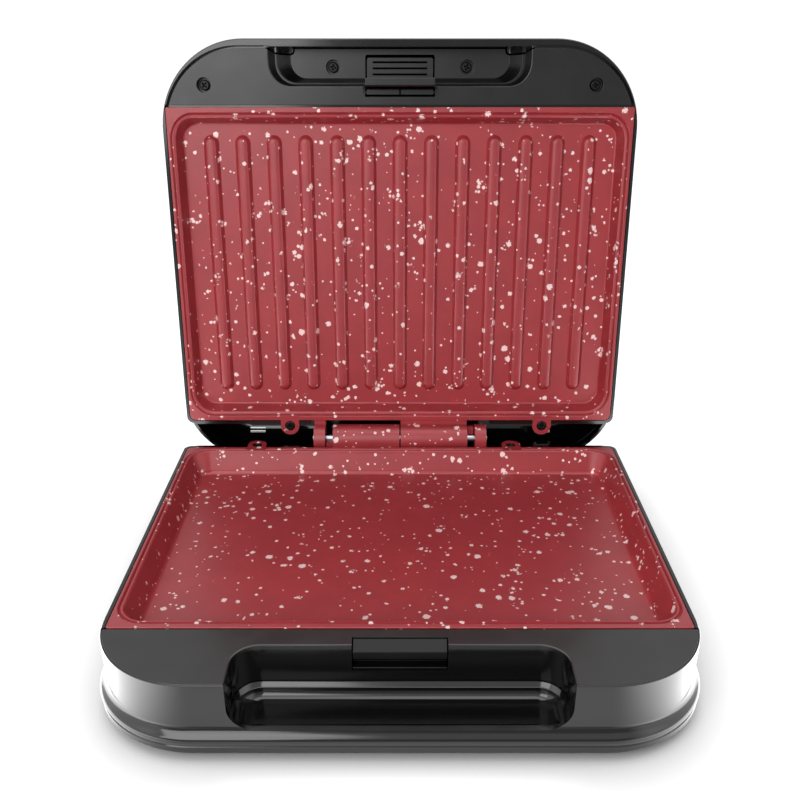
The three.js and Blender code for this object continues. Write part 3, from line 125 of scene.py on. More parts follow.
# Hinge knuckles and lugs
KNUCKLE = 9.5
KNUCKLE_END = 56.2
SMALL_KNUCKLE = 7.4
BIG_KNUCKLE = 43.4
KNUCKLE_GAP = 0.4
WEB_REACH = 20.0
PIN = 2.5
STUB = (2.5, 8.0, 4.0, 4.4)  # rear, front, height and width
LUG_HALF = 6.0
LUG_CENTRE = 8.6
NEAR_LUG = 72.2
FAR_LUG = 93.0
LUG_SKIN = 4.0
LUG_SINK = 2.4
WORK_ROUND = 0.45

# Screws
HEAD = 3.0
HEAD_HEIGHT = 2.0
HEAD_ROUND = 0.9
CROSS = (1.75, 0.42)  # half length and half width
CROSS_DEPTH = 1.5
SHANK = 1.6
SCREW_LENGTH = 14.0
SCREW_POINT = 1.2
SCREW_ROUND = 0.08
BOSS = 4.8
HEAD_HOLE = HEAD + SEAM
SHANK_HOLE = SHANK + SEAM
WELL = 4.0

# Base
HOUSING_BOTTOM = 35.0
SKIRT_TOP = 19.5
HOLLOW_TOP = 21.5
HOLLOW = 6.6
SKIRT_TILT = 50.0
SKIRT_SLOPE = 0.4
BULGE = 2.9
UNDERCUT = 25.0
SKIRT_FACE = 31.0
SKIRT_FLARE = 3.8
SKIRT_FOOT = 0.9
SKIRT_GROOVE = [(0.0, -0.2), (0.1, -0.7), (0.7, -0.7), (1.1, -0.2)]
SKIRT_END = [(-0.4, -0.15), (0.0, -0.4)]
HOUSING_EDGE = [(0.1, -0.35), (0.22, -0.14), (0.45, 0.0)]
BASE_RIM_EDGE = [(0.0, -0.35), (0.12, -0.12), (0.35, 0.0)]
REAR_WALL = 3.2
REAR_WALL_RADIUS = 8.0
RIM_REAR = PLATE_REAR - WALL
RIM_REAR_RADIUS = 5.0
RIM_INSET = 0.4
LEDGE_DEPTH = SPLIT + FLANGE + SEAM
LEDGE_SKIN = 2.4
LEDGE_WIDTH = 2.0
TAIL_REAR = -30.0
TAIL_RADIUS = 30.0
SHELF = 19.0
BAY_HALF = 59.0
BAY_DEPTH = 12.5
BAY_FRONT = 21.0
PAD_X = 104.0
PAD_HALF = 6.0
PAD_REACH = (9.0, 19.0)  # near and far, from the open lid's plane
GLAND = {"x": -60.0, "depth": 27.5, "radius": 4.5, "half": 6.0}
COVER_BOSS_TOP = -20.0
DECK_REAR = PLATE_FRONT + DARK_GAP
DECK_SKIN = 2.6
DECK_INSET = 0.6
DECK_EDGE = [(SPLIT, -0.35), (SPLIT + 0.15, -0.2), (SPLIT + DECK_SKIN, -0.2)]
RECESS_HALF = 75.5
RECESS_BACK = 216.7
RECESS_RADIUS = 12.5
RECESS_WALL_DEPTH = 20.0
RECESS_SKIN = 2.0
MOUTH_DEPTH = 24.4
MOUTH_RADIUS = 11.0
RECESS_INSET = 1.4
RECESS_LEDGE = [(20.8, 0.3), (21.2, 0.45), (22.7, 1.9), (22.9, 2.3), (23.3, 2.3)]
RECESS_FLOOR = 27.5
RECESS_FOOT = 4.2
RECESS_FLOOR_RADIUS = 9.0
RECESS_LIP = 224.0
RECESS_EDGE = [(0.8, 0.0), (0.35, 0.12), (0.1, 0.4), (0.0, 0.75)]
NOTCH_REAR = 210.4
NOTCH_DEPTH = 14.3
NOTCH_RADIUS = 0.9
CATCH_HALF = 21.7
CATCH_SHAPE = [(210.7, 0.9), (216.2, 4.5), (216.2, 8.4), (211.8, 8.4), (211.8, 12.8)]
CATCH_SHAPE += [(RECESS_BACK, 12.8), (RECESS_BACK, 14.0), (208.8, 14.0), (208.8, 2.9)]
CATCH_SHAPE += [(210.7, 2.9)]
COVER_TOP = HOUSING_BOTTOM + SEAM
COVER_SKIN = 2.4
COVER_INSET = 1.6
COVER_ROUND = 0.9
COVER_EDGE_ROUND = 0.2
COVER_VENT = {"half": 22.0, "reach": 1.7, "radius": 1.6, "x": 55.0}
COVER_VENTS = [120.0 + (i - 2.5) * 9.0 for i in range(6)]
FOOT_HOLE = 3.3
FOOT_ROUND = 1.4
FOOT_CURVE = (7.6, -3.3)
FOOT_UNDER = [(0, -3.3), (7.2, -3.3)]
FOOT_ABOVE = [(9.0, -0.3), (3.0, -0.3), (3.0, 2.7), (0, 2.7)]
FOOT_PLACES = [(-110.0, 200.0), (110.0, 200.0), (-110.0, -6.0), (110.0, -6.0)]
COVER_SCREWS = [(-133.6, 185.0), (133.6, 185.0), (-133.6, 25.0), (133.6, 25.0)]

# Lid
LID_TOP = 36.8
LID_SIDE = 22.0
LID_SHOULDER = 12.0
LID_DRAFT = 0.8
LID_CROWN = 26.0
LID_RISE = 2.8
HEEL_REAR = -12.5
HEEL_RADIUS = 40.0
LID_EDGE = [(0.0, -1.2), (0.09, -0.74), (0.35, -0.35), (0.74, -0.09)]
LID_RIM = 6.0
LID_RIM_EDGE = [(0.0, -0.45), (0.13, -0.13), (0.45, 0.0)]
LIP_HEIGHT = 15.0
LID_BORE = 12.2
# Vents on one side: outer x, rear, front, low and high
LID_VENTS = [(103.5, -5.4, -4.2, 25.0, LID_TOP + OVER), (103.5, -3.3, -2.1, 25.0, LID_TOP + OVER)]
LID_VENTS += [(101.0, HEEL_REAR - OVER, HEEL_REAR + 2 * WALL, 17.0, 23.0)]
LID_VENT_X = 93.0

# Frame of the lid and its pocket, whose wall and skin are rows of (share of the slope, depth)
FRAME_HALF = 138.0
FRAME_FRONT = 235.8
FRAME_RADIUS = 45.0
FRAME_SKIN = 2.5
FRAME_INSET = 0.75
FRAME_EDGE = [(0.0, -0.25), (0.1, -0.08), (0.3, 0.0), (FRAME_SKIN, 0.0)]
GAP_RING = (0.85, -1.0)  # outer and inner growth
POCKET_BACK = 215.0
POCKET_FLOOR_HALF = 64.0
POCKET_FLOOR_BACK = 219.7
POCKET_FLOOR_RADIUS = 9.0
POCKET_DEPTH = 13.0
POCKET_WALL = [(0.25, 5.0), (0.25, 5.9), (0.34, 5.9), (0.34, 5.45), (0.36, 5.2), (0.4, 5.25)]
POCKET_WALL += [(0.95, 12.6), (1.0, 13.0)]
POCKET_EDGE = [(-OVER, 0.7), (0.0, 0.7), (0.08, 0.35), (0.3, 0.1), (0.7, 0.0)]
POCKET_BASE = 2.0
POCKET_SKIN = [(0, 0.5), (0.25, 5.0), (0.34, 6.5), (0.95, 12.6), (1.0, 13.0)]

# Hand tabs and their slots: x and distance in front of the frame
TAB_SHAPE = [(78.2, 0.0), (75.0, -0.7), (72.4, -2.5), (70.5, -2.8), (64.5, -2.8), (63.2, -2.3)]
TAB_SHAPE += [(62.7, -1.2), (62.7, 0.6), (78.2, 0.6)]
TAB_SLOT = [(79.4, 0.0), (75.0, -1.7), (72.0, -3.6), (70.3, -3.8), (64.1, -3.8), (62.2, -3.0)]
TAB_SLOT += [(61.6, -1.4), (61.6, 2.0), (79.4, 2.0)]

# Screws and latch of the lid
WELL_EDGE = [(0.3, -OVER), (0.3, 0.0), (0.1, 0.08), (0.0, 0.3)]
SIDE_SCREW = (113.8, 215.6)  # x and forwards
POCKET_SCREW = (39.4, 225.8)  # x and forwards
LATCH_HALF = 19.8
BUTTON_REAR = 218.6
BUTTON_FRONT = 231.4
BUTTON_PROUD = 1.2
BUTTON_SKIN = 3.2
BUTTON_EASE = (0.4, 0.5)  # narrower and shorter than the latch
BUTTON_RADII = (1.2, 0.6)
BUTTON_ROOM = LATCH_HALF + 2 * SEAM
ROOM_FRONT = 1.1
ROOM_RADII = (1.2, 0.4)
GROOVE_HALF = (16.0, 0.6)  # half length and half width
GROOVE_CUT = 2.6
GROOVE_MIDDLE = 225.05
GROOVE_PITCH = 3.3
STEM_REAR = 216.7
STEM_FRONT = 218.8
HOOK_NOSE = 214.4
HOOK_TOP = 9.0
HOOK_BOTTOM = 12.2
HOOK_CHAMFER = 0.7
LATCH_PIN = (217.7, 18.6)  # forwards and height
PIN_BORE = 1.8
BARREL = 3.0
SPRING_ROOM = 5.2
EAR = (-3.3, 6.6, 2.2, 3.0)  # rear, front, width and height, from the pin
WINDOW_REAR = 209.2
WINDOW_NOTCH = (211.2, 214.6, 1.1)  # rear, front and width
PADS = [(-BUTTON_ROOM + 1.2, -0.45), (0.45, BUTTON_ROOM - 1.2)]
PAD_GAP = 1.3
PAD_DEPTHS = (0.2, 5.0)  # from the face and from the back of the frame
BRACKET_HALF = 2.0
BRACKET_TOP = 6.0
BAR_HALF = 0.8
BAR_FOOT = 4.5
LAMP_X = 12.0
LAMP_FRONT = 196.0
LAMP_POST = (6.2, 4.3, 13.0)  # radius, bore and depth
LENS = {"stem": 4.0, "radius": 5.4, "foot": 6.5, "edge": 0.3, "dome": 0.9}

# Stage, in metres: the floor, its painted shadow and what gloss mirrors from it, as limits of
# ramps
FLOOR_HALF = 30.0
SHADOW_REACH = 0.07
SHADOW_SAMPLES = 12
SHADOW_RAMP = (0.22, 0.98)
SHADOW_CURVE = 1.3
FLOOR_SIDES = (0.1, 0.18)
FLOOR_SHADE = (0.42, 0.85, 0.12, 1.0)
FLOOR_FRONT = (HINGE.y - 0.34, HINGE.y - 0.285, 0.15, 1.0)

# Bands of the sky, by the height or the side that a ray points to
SKY_REAR = (0.62, 0.85)
SKY_LOW = (0.48, 0.62)
SKY_HIGH = (0.85, 0.95)
SKY_TURN = (-0.1, 0.25)
SKY_SIDES = (0.45, 0.75)

# Lamps from the hinge: place, width, height and whether gloss mirrors the lamp
LAMPS = {
    "key": ((-0.1, -1.79, 0.73), 0.9, 0.9, False),
    "box": ((-0.4, -0.95, 0.6), 0.6, 0.68, True),
    "top": ((0.0, 0.65, 1.1), 0.9, 0.6, False),
}
LAMP_TARGET = HINGE + Vector((0.0, -0.1, 0.05))

# Camera, from the fit of the plates' corners: lengths in pixels of the photograph
PHOTO_SIZE = 800
FOCAL_LENGTH = 928
CENTRE_SHIFT = 70
SENSOR = 36.0
CAMERA_PLACE = HINGE + Vector((0.0, -0.553, 0.264))
CAMERA_TILT = 27.47


# Plan outlines and solids


def plan(half, front, rear, front_radius, rear_radius, front_steps=BIG, rear_steps=SMALL):
    """The rounded rectangle that a moulding has when it is seen from above."""
    return {
        "half": half,
        "front": front,
        "rear": rear,
        "radii": (front_radius, rear_radius),
        "steps": (front_steps, rear_steps),
    }


def outline(shape, grow=0.0):
    """Points round a plan, grown outwards by grow, counterclockwise from above."""
    right = shape["half"] + grow
    low = -shape["front"] - grow
    high = -shape["rear"] + grow
    corners = [
        (right, low, 0, -1, -1, 1),
        (right, high, 1, 0, -1, -1),
        (-right, high, 1, 1, 1, -1),
        (-right, low, 0, 2, 1, 1),
    ]
    points = []
    for x, y, end, turn, inward_x, inward_y in corners:
        radius = max(shape["radii"][end] + grow, LEAST)
        steps = shape["steps"][end]
        x, y = x + inward_x * radius, y + inward_y * radius
        for i in range(steps + 1):
            angle = (turn + i / steps) * QUARTER
            points.append((x + radius * math.cos(angle), y + radius * math.sin(angle)))
    return points


def mesh_object(name, vertices, faces):
    """An object of one mesh, linked to the scene."""
    mesh = bpy.data.meshes.new(name)
    mesh.from_pydata(vertices, [], faces)
    mesh.update()
    obj = bpy.data.objects.new(name, mesh)
    bpy.context.scene.collection.objects.link(obj)
    return obj


def loft(rows, name="loft"):
    """A closed solid through rows of (points, height), listed from the lowest to the highest."""
    count = len(rows[0][0])
    vertices = [(x, y, z) for points, z in rows for x, y in points]
    faces = [tuple(reversed(range(count)))]
    for row in range(len(rows) - 1):
        first = row * count
        for i in range(count):
            j = (i + 1) % count
            faces.append((first + i, first + j, first + count + j, first + count + i))
    last = (len(rows) - 1) * count
    faces.append(tuple(range(last, last + count)))
    return mesh_object(name, vertices, faces)


def swell(shape, rows):
    """A loft of one plan whose outline grows or shrinks: pairs of height and growth."""
    return loft([(outline(shape, grow), z) for z, grow in rows])


def rising(which, rows):
    """Rows given as distances from the plane of the plates, in rising order of height."""
    sign = 1 if which == "lid" else -1
    return sorted(((sign * distance, grow) for distance, grow in rows), key=lambda row: row[0])


def slab(shape, low, high, grow=0.0):
    """A straight prism of one plan."""
    return swell(shape, [(low, grow), (high, grow)])


def block(x0, x1, rear, front, low, high):
    """A box between two x values, two distances forwards and two heights."""
    corners = [(x0, -front), (x1, -front), (x1, -rear), (x0, -rear)]
    return loft([(corners, low), (corners, high)])


def beam(profile, x0, x1):
    """A side profile of (forwards, height) points, run across from one x to another."""
    area = sum(a[0] * b[1] - b[0] * a[1] for a, b in zip(profile, profile[1:] + profile[:1]))
    points = profile if area > 0 else profile[::-1]
    solid = loft([(points, x0), (points, x1)])
    for vertex in solid.data.vertices:
        forwards, height, x = vertex.co
        vertex.co = (x, -forwards, height)
    solid.data.flip_normals()
    return outward(solid)


def tunnel(points, rear, front):
    """An outline in the X and Z plane, run from one distance forwards to another."""
    solid = loft([(points, rear), (points, front)])
    for vertex in solid.data.vertices:
        x, z, forwards = vertex.co
        vertex.co = (x, -forwards, z)
    return outward(solid)


def turned(profile, x=0.0, forwards=0.0, steps=ROUND, name="turned"):
    """A solid of revolution from (radius, height) points that start and end on the axis."""
    vertices = [(x, -forwards, profile[0][1])]
    for radius, height in profile[1:-1]:
        for i in range(steps):
            angle = 2 * math.pi * i / steps
            around = (x + radius * math.cos(angle), radius * math.sin(angle) - forwards)
            vertices.append((*around, height))
    vertices.append((x, -forwards, profile[-1][1]))
    faces = []
    rings = len(profile) - 2
    for i in range(steps):
        j = (i + 1) % steps
        faces.append((0, 1 + j, 1 + i))
        for ring in range(rings - 1):
            first = 1 + ring * steps
            faces.append((first + i, first + j, first + steps + j, first + steps + i))
        last = 1 + (rings - 1) * steps
        faces.append((last + i, last + j, len(vertices) - 1))
    return outward(mesh_object(name, vertices, faces))


def post(radius, low, high, x, forwards, steps=ROUND):
    """An upright cylinder."""
    return turned([(0, low), (radius, low), (radius, high), (0, high)], x, forwards, steps)


def rod(radius, x0, x1, forwards, height, steps=ROUND):
    """A cylinder along the X axis."""
    solid = turned([(0, x0), (radius, x0), (radius, x1), (0, x1)], steps=steps)
    for vertex in solid.data.vertices:
        across, up, x = vertex.co
        vertex.co = (x, across - forwards, up + height)
    return outward(solid)


def outward(solid):
    """The solid with every face pointing out."""
    work = bmesh.new()
    work.from_mesh(solid.data)
    bmesh.ops.recalc_face_normals(work, faces=work.faces)
    work.to_mesh(solid.data)
    work.free()
    return solid


def made_real(obj, tools=()):
    """The object with its modifiers applied and the tools that they used deleted."""
    depsgraph = bpy.context.evaluated_depsgraph_get()
    mesh = bpy.data.meshes.new_from_object(obj.evaluated_get(depsgraph))
    old = obj.data
    obj.modifiers.clear()
    obj.data = mesh
    bpy.data.meshes.remove(old)
    for tool in tools:
        bpy.data.objects.remove(tool, do_unlink=True)
    return obj


def carve(operation, body, tools):
    """The body after one boolean operation with each tool."""
    for tool in tools:
        modifier = body.modifiers.new("carve", "BOOLEAN")
        modifier.operation = operation
        modifier.solver = "MANIFOLD"
        modifier.object = tool
    body = made_real(body, tools)
    if not body.data.polygons:
        raise RuntimeError(f"{operation} left nothing of {body.name}")
    return body


def cut(body, *tools):
    return carve("DIFFERENCE", body, tools)


def join(body, *tools):
    return carve("UNION", body, tools)


def common(body, *tools):
    return carve("INTERSECT", body, tools)


def ahead(solid, rear):
    """What lies in front of a distance from the hinge axis."""
    reach = 3 * BODY_HALF
    return common(solid, block(-reach, reach, rear, reach, -reach, reach))


def span(a, b):
    return min(a, b), max(a, b)


def arc(steps, start=0):
    """Angles from zero to a quarter turn."""
    return [QUARTER * i / steps for i in range(start, steps + 1)]


def shifted(rows, depth, grow=0.0):
    """Rows moved by a depth and a growth."""
    return [(row_depth + depth, row_grow + grow) for row_depth, row_grow in rows]


BODY_PLAN = plan(BODY_HALF, BASE_FRONT, REAR_WALL, BASE_CORNER, REAR_WALL_RADIUS)
TAIL_PLAN = plan(BODY_HALF, BASE_FRONT, TAIL_REAR, BASE_CORNER, TAIL_RADIUS, BIG, MID)
BASE_RIM_PLAN = plan(BODY_HALF, BASE_FRONT, RIM_REAR, BASE_CORNER, RIM_REAR_RADIUS)
LID_PLAN = plan(BODY_HALF, LID_FRONT, HEEL_REAR, LID_CORNER, HEEL_RADIUS, BIG, BIG)
LID_RIM_PLAN = plan(BODY_HALF, LID_FRONT, RIM_REAR, LID_CORNER, RIM_REAR_RADIUS)
PLATE_PLAN = plan(PLATE_HALF, PLATE_FRONT, PLATE_REAR, 1.2, 4.0, MID, MID)
TRAY_PLAN = plan(
    TRAY_HALF, PLATE_FRONT - RIM, PLATE_REAR + RIM, TRAY_RADIUS, TRAY_RADIUS, MID, MID
)
RECESS_PLAN = plan(
    RECESS_HALF, BASE_FRONT + BASE_CORNER, RECESS_BACK, RECESS_RADIUS, RECESS_RADIUS, 1, MID
)
FRAME_PLAN = plan(FRAME_HALF, FRAME_FRONT, PLATE_REAR, FRAME_RADIUS, LEAST, BIG, 1)


# Putting pieces into the frame


def bevelled(obj, width, angle, segments):
    """The object with its edges rounded."""
    modifier = obj.modifiers.new("edges", "BEVEL")
    modifier.width = width
    modifier.segments = segments
    modifier.limit_method = "ANGLE"
    modifier.angle_limit = math.radians(angle)
    modifier.miter_outer = "MITER_ARC"
    return made_real(obj)


def tidied(obj, flat=0.4):
    """The object with doubles merged and flat stretches made whole."""
    work = bmesh.new()
    work.from_mesh(obj.data)
    bmesh.ops.remove_doubles(work, verts=work.verts, dist=0.002)
    bmesh.ops.dissolve_degenerate(work, edges=work.edges, dist=0.002)
    bmesh.ops.dissolve_limit(
        work, angle_limit=math.radians(flat), verts=work.verts, edges=work.edges
    )
    work.to_mesh(obj.data)
    work.free()
    return obj


def shaded(obj, angle=32.0):
    """Smooth shading between faces that meet at less than an angle, led by the larger faces."""
    obj.data.shade_smooth()
    obj.data.set_sharp_from_angle(angle=math.radians(angle))
    modifier = obj.modifiers.new("normals", "WEIGHTED_NORMAL")
    modifier.keep_sharp = True
    modifier.weight = 60
    return made_real(obj)


def place(obj, body):
    """Moves a piece from the drawing, in millimetres about the hinge, to the frame, in metres."""
    turn = Matrix.Identity(4) if body == "base" else Matrix.Rotation(-OPEN_ANGLE, 4, "X")
    obj.data.transform(Matrix.Translation(HINGE) @ turn @ Matrix.Scale(MM, 4))
    return obj


def finish(obj, name, body, nodes, slot, material, smooth=32.0):
    """Shades, places, names, paints and attaches a finished piece, and hides the CAD nodes that it
    stands for.
    """
    shaded(obj, smooth)
    place(obj, body)
    obj.name = name
    obj.data.name = name
    obj.data.materials.clear()
    obj.data.materials.append(material)
    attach(obj, body)
    if nodes:
        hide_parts(*nodes)
    return obj


# Materials


def srgb(red, green, blue):
    """A colour that is written as it looks on a screen, from 0 to 255, as linear values."""
    linear = []
    for value in (red, green, blue):
        share = value / 255
        linear.append(share / 12.92 if share <= 0.04045 else ((share + 0.055) / 1.055) ** 2.4)
    return (*linear, 1.0)


def new_group(name, values, results):
    """A shader group with a vector, numbers and their first values, and the numbers it gives."""
    group = bpy.data.node_groups.new(name, "ShaderNodeTree")
    new_socket = group.interface.new_socket
    new_socket("Vector", in_out="INPUT", socket_type="NodeSocketVector")
    for label, value in values.items():
        new_socket(label, in_out="INPUT", socket_type="NodeSocketFloat").default_value = value
    for label in results:
        new_socket(label, in_out="OUTPUT", socket_type="NodeSocketFloat")
    return group, group.nodes.new("NodeGroupInput").outputs


def feed(tree, socket, value):
    """Gives an input a link from another socket, or a value of its own."""
    if isinstance(value, bpy.types.NodeSocket):
        tree.links.new(value, socket)
    elif value is not None:
        socket.default_value = value


def new_node(tree, kind, **inputs):
    """A node whose named inputs are fed by sockets or values."""
    node = tree.nodes.new(kind)
    for label, value in inputs.items():
        feed(tree, node.inputs[label], value)
    return node


def math_node(tree, operation, first, second=None, clamp=False):
    """A Math node, fed by sockets or numbers."""
    node = tree.nodes.new("ShaderNodeMath")
    node.operation = operation
    node.use_clamp = clamp
    feed(tree, node.inputs[0], first)
    feed(tree, node.inputs[1], second)
    return node.outputs[0]


def ramp(tree, value, low, high, to_low=0.0, to_high=1.0, kind="SMOOTHSTEP"):
    """A step of a value between two limits, smooth or linear."""
    limits = {"From Min": low, "From Max": high, "To Min": to_low, "To Max": to_high}
    node = new_node(tree, "ShaderNodeMapRange", Value=value, **limits)
    node.interpolation_type = kind
    return node.outputs["Result"]


def split_axes(tree, vector):
    """The X, Y and Z of a vector."""
    return new_node(tree, "ShaderNodeSeparateXYZ", Vector=vector).outputs


# Noises: scale, detail and roughness. Flecks: how their sizes vary, and where they gather.
FINE_DETAIL = 2.0
MOTTLE_NOISE = (55.0, 5.0, 0.6)
CLUSTER_NOISE = (24.0, 1.0)
CLUSTER_SHARES = (0.38, 0.62, 0.45, 1.5)
FLECK_SIZES = (0.8, 0.6)
FLECK_CORE = 0.8


def noise(tree, vector, scale, detail, roughness=0.5):
    """The value of a noise texture."""
    inputs = {"Vector": vector, "Scale": scale, "Detail": detail, "Roughness": roughness}
    return new_node(tree, "ShaderNodeTexNoise", **inputs).outputs["Fac"]


def grain_group():
    """Fine moulded grain: a height for bump, and a slow mottle for colour and roughness."""
    name = "moulded_grain"
    if name in bpy.data.node_groups:
        return bpy.data.node_groups[name]
    group, given = new_group(name, {"Scale": 2500.0}, ["Height", "Mottle"])
    height = noise(group, given["Vector"], given["Scale"], FINE_DETAIL)
    mottle = noise(group, given["Vector"], *MOTTLE_NOISE)
    new_node(group, "NodeGroupOutput", Height=height, Mottle=mottle)
    return group


def fleck_group():
    """Irregular paint flecks, one to a cell, in a share of the cells that varies by place."""
    name = "paint_flecks"
    if name in bpy.data.node_groups:
        return bpy.data.node_groups[name]
    values = {"Scale": 110.0, "Radius": 0.1, "Share": 0.6, "Ragged": 0.1, "Grain": 900.0}
    group, given = new_group(name, {**values, "Shift": 0.0}, ["Mask"])
    moved = group.nodes.new("ShaderNodeVectorMath")
    moved.operation = "ADD"
    feed(group, moved.inputs[0], given["Vector"])
    feed(group, moved.inputs[1], given["Shift"])
    moved = moved.outputs[0]
    wobble = noise(group, given["Vector"], given["Grain"], FINE_DETAIL)
    clusters = noise(group, moved, *CLUSTER_NOISE)
    cells = new_node(group, "ShaderNodeTexVoronoi", Vector=moved, Scale=given["Scale"])
    parts = new_node(group, "ShaderNodeSeparateColor", Color=cells.outputs["Color"])
    centred = math_node(group, "SUBTRACT", wobble, 0.5)
    ragged = math_node(group, "MULTIPLY", centred, given["Ragged"])
    distance = math_node(group, "ADD", cells.outputs["Distance"], ragged)
    spread, least = FLECK_SIZES
    vary = math_node(group, "MULTIPLY", parts.outputs[1], spread)
    vary = math_node(group, "ADD", vary, least)
    radius = math_node(group, "MULTIPLY", given["Radius"], vary)
    inner = math_node(group, "MULTIPLY", radius, FLECK_CORE)
    disc = ramp(group, distance, inner, radius, 1.0, 0.0)
    thick = ramp(group, clusters, *CLUSTER_SHARES)
    limit = math_node(group, "MULTIPLY", given["Share"], thick)
    chosen = math_node(group, "LESS_THAN", parts.outputs[0], limit)
    new_node(group, "NodeGroupOutput", Mask=math_node(group, "MULTIPLY", disc, chosen))
    return group


def new_material(name, colour, roughness, metallic=0.0):
    """A material with one Principled shader, its object coordinates and its output."""
    material = bpy.data.materials.new(name)
    material.use_nodes = True
    tree = material.node_tree
    shader = next(node for node in tree.nodes if node.type == "BSDF_PRINCIPLED")
    shader.inputs["Base Color"].default_value = colour
    shader.inputs["Roughness"].default_value = roughness
    shader.inputs["Metallic"].default_value = metallic
    place_node = tree.nodes.new("ShaderNodeTexCoord")
    return material, tree, shader, place_node.outputs["Object"]


def use_group(tree, group, vector, **values):
    """The results of a group node fed with the object coordinates and its own values."""
    node = tree.nodes.new("ShaderNodeGroup")
    node.node_tree = group
    for label, value in {"Vector": vector, **values}.items():
        feed(tree, node.inputs[label], value)
    return node.outputs


def mix_colour(tree, mask, first, second):
    """A colour between two others."""
    node = tree.nodes.new("ShaderNodeMix")
    node.data_type = "RGBA"
    for index, value in ((0, mask), (6, first), (7, second)):
        feed(tree, node.inputs[index], value)
    return node.outputs[2]


def bump(tree, shader, height, strength, distance):
    """Bump from a height, into the shader's normal."""
    node = new_node(tree, "ShaderNodeBump", Height=height, Strength=strength, Distance=distance)
    feed(tree, shader.inputs["Normal"], node.outputs["Normal"])


def scaled(colour, factor):
    """A colour that is darker or lighter by a factor."""
    return (*[min(channel * factor, 1.0) for channel in colour[:3]], 1.0)


# Plastics: roughness, how far it varies, strength of the grain, grains to the metre.
PLASTICS = {
    "housing_plastic": (0.13, 0.03, 0.015, 2500.0),
    "frame_plastic": (0.3, 0.05, 0.03, 2800.0),
    "catch_plastic": (0.36, 0.05, 0.03, 2800.0),
    "dark_plastic": (0.5, 0.1, 0.1, 1500.0),
    "foot_rubber": (0.85, 0.08, 0.2, 1200.0),
    "ceramic": (0.6, 0.1, 0.1, 900.0),
}
POLISHED_BELOW = HINGE.z - 2 * MM
POLISH = 0.4
GRAIN_HEIGHT = 0.0001
MOTTLE = (0.3, 0.7)


def moulded(name, colour, shift=0.12, polished=False, specular=0.5):
    """Moulded plastic with a fine grain and a mottled sheen; polished is smoother in the base."""
    roughness, spread, strength, scale = PLASTICS[name]
    name = "grill_" + name
    if name in bpy.data.materials:
        return bpy.data.materials[name]
    material, tree, shader, vector = new_material(name, tuple(colour), roughness)
    shader.inputs["Specular IOR Level"].default_value = specular
    grain = use_group(tree, grain_group(), vector, Scale=scale)
    mottle = grain["Mottle"]
    shades = scaled(colour, 1 - shift), scaled(colour, 1 + shift)
    tint = mix_colour(tree, ramp(tree, mottle, *MOTTLE), *shades)
    feed(tree, shader.inputs["Base Color"], tint)
    rough = ramp(tree, mottle, *MOTTLE, roughness - spread / 2, roughness + spread / 2)
    if polished:
        height = split_axes(tree, vector)["Z"]
        share = ramp(tree, height, POLISHED_BELOW - MM, POLISHED_BELOW, POLISH, 1.0)
        rough = math_node(tree, "MULTIPLY", rough, share)
    feed(tree, shader.inputs["Roughness"], rough)
    bump(tree, shader, grain["Height"], strength, GRAIN_HEIGHT)
    return material


# Flecks: cells to the metre, radius and share of the cells, raggedness, its grain, and shift.
FLECK_INPUTS = ("Scale", "Radius", "Share", "Ragged", "Grain", "Shift")
FLECK_LAYERS = (
    (108.0, 0.175, 0.66, 0.24, 950.0, 0.0),
    (159.0, 0.16, 0.68, 0.22, 1300.0, 0.37),
    (202.0, 0.13, 0.7, 0.14, 1700.0, 0.71),
)
CLUMPS = (62.0, 0.23, 0.75, 0.06, 500.0, 0.23)
CLUMP_DOTS = (390.0, 0.44, 0.72, 0.2, 2400.0, 0.53)
COATING = {"roughness": 0.38, "specular": 0.55, "grain": 1800.0, "deep": 0.86, "bump": 0.12}
FLECK_HEIGHT = 0.0002


def coating(settings):
    """Red non-stick coating with pale flecks of three sizes, and clumps of small ones."""
    name = "grill_coating"
    if name in bpy.data.materials:
        return bpy.data.materials[name]
    red = tuple(settings.coating_colour)
    material, tree, shader, vector = new_material(name, red, COATING["roughness"])
    shader.inputs["Specular IOR Level"].default_value = COATING["specular"]
    grain = use_group(tree, grain_group(), vector, Scale=COATING["grain"])
    deep = scaled(red, COATING["deep"])
    base = mix_colour(tree, ramp(tree, grain["Mottle"], *MOTTLE), deep, red)

    def flecks(layer):
        values = dict(zip(FLECK_INPUTS, layer))
        return use_group(tree, fleck_group(), vector, **values)["Mask"]

    mask = math_node(tree, "MULTIPLY", flecks(CLUMPS), flecks(CLUMP_DOTS))
    for layer in FLECK_LAYERS:
        mask = math_node(tree, "MAXIMUM", mask, flecks(layer))
    colour = mix_colour(tree, mask, base, tuple(settings.fleck_colour))
    feed(tree, shader.inputs["Base Color"], colour)
    half = math_node(tree, "MULTIPLY", grain["Height"], 0.5)
    bump(tree, shader, math_node(tree, "ADD", half, mask), COATING["bump"], FLECK_HEIGHT)
    return material


# Metals: grain to the metre, darkest shade, least and greatest roughness, and bump.
METAL = {"grain": 1400.0, "shade": 0.8, "least": 0.8, "most": 1.25, "bump": 0.08}
CLEAR = {"roughness": 0.12, "coat": 0.6, "rings": 900.0, "bump": 0.15}


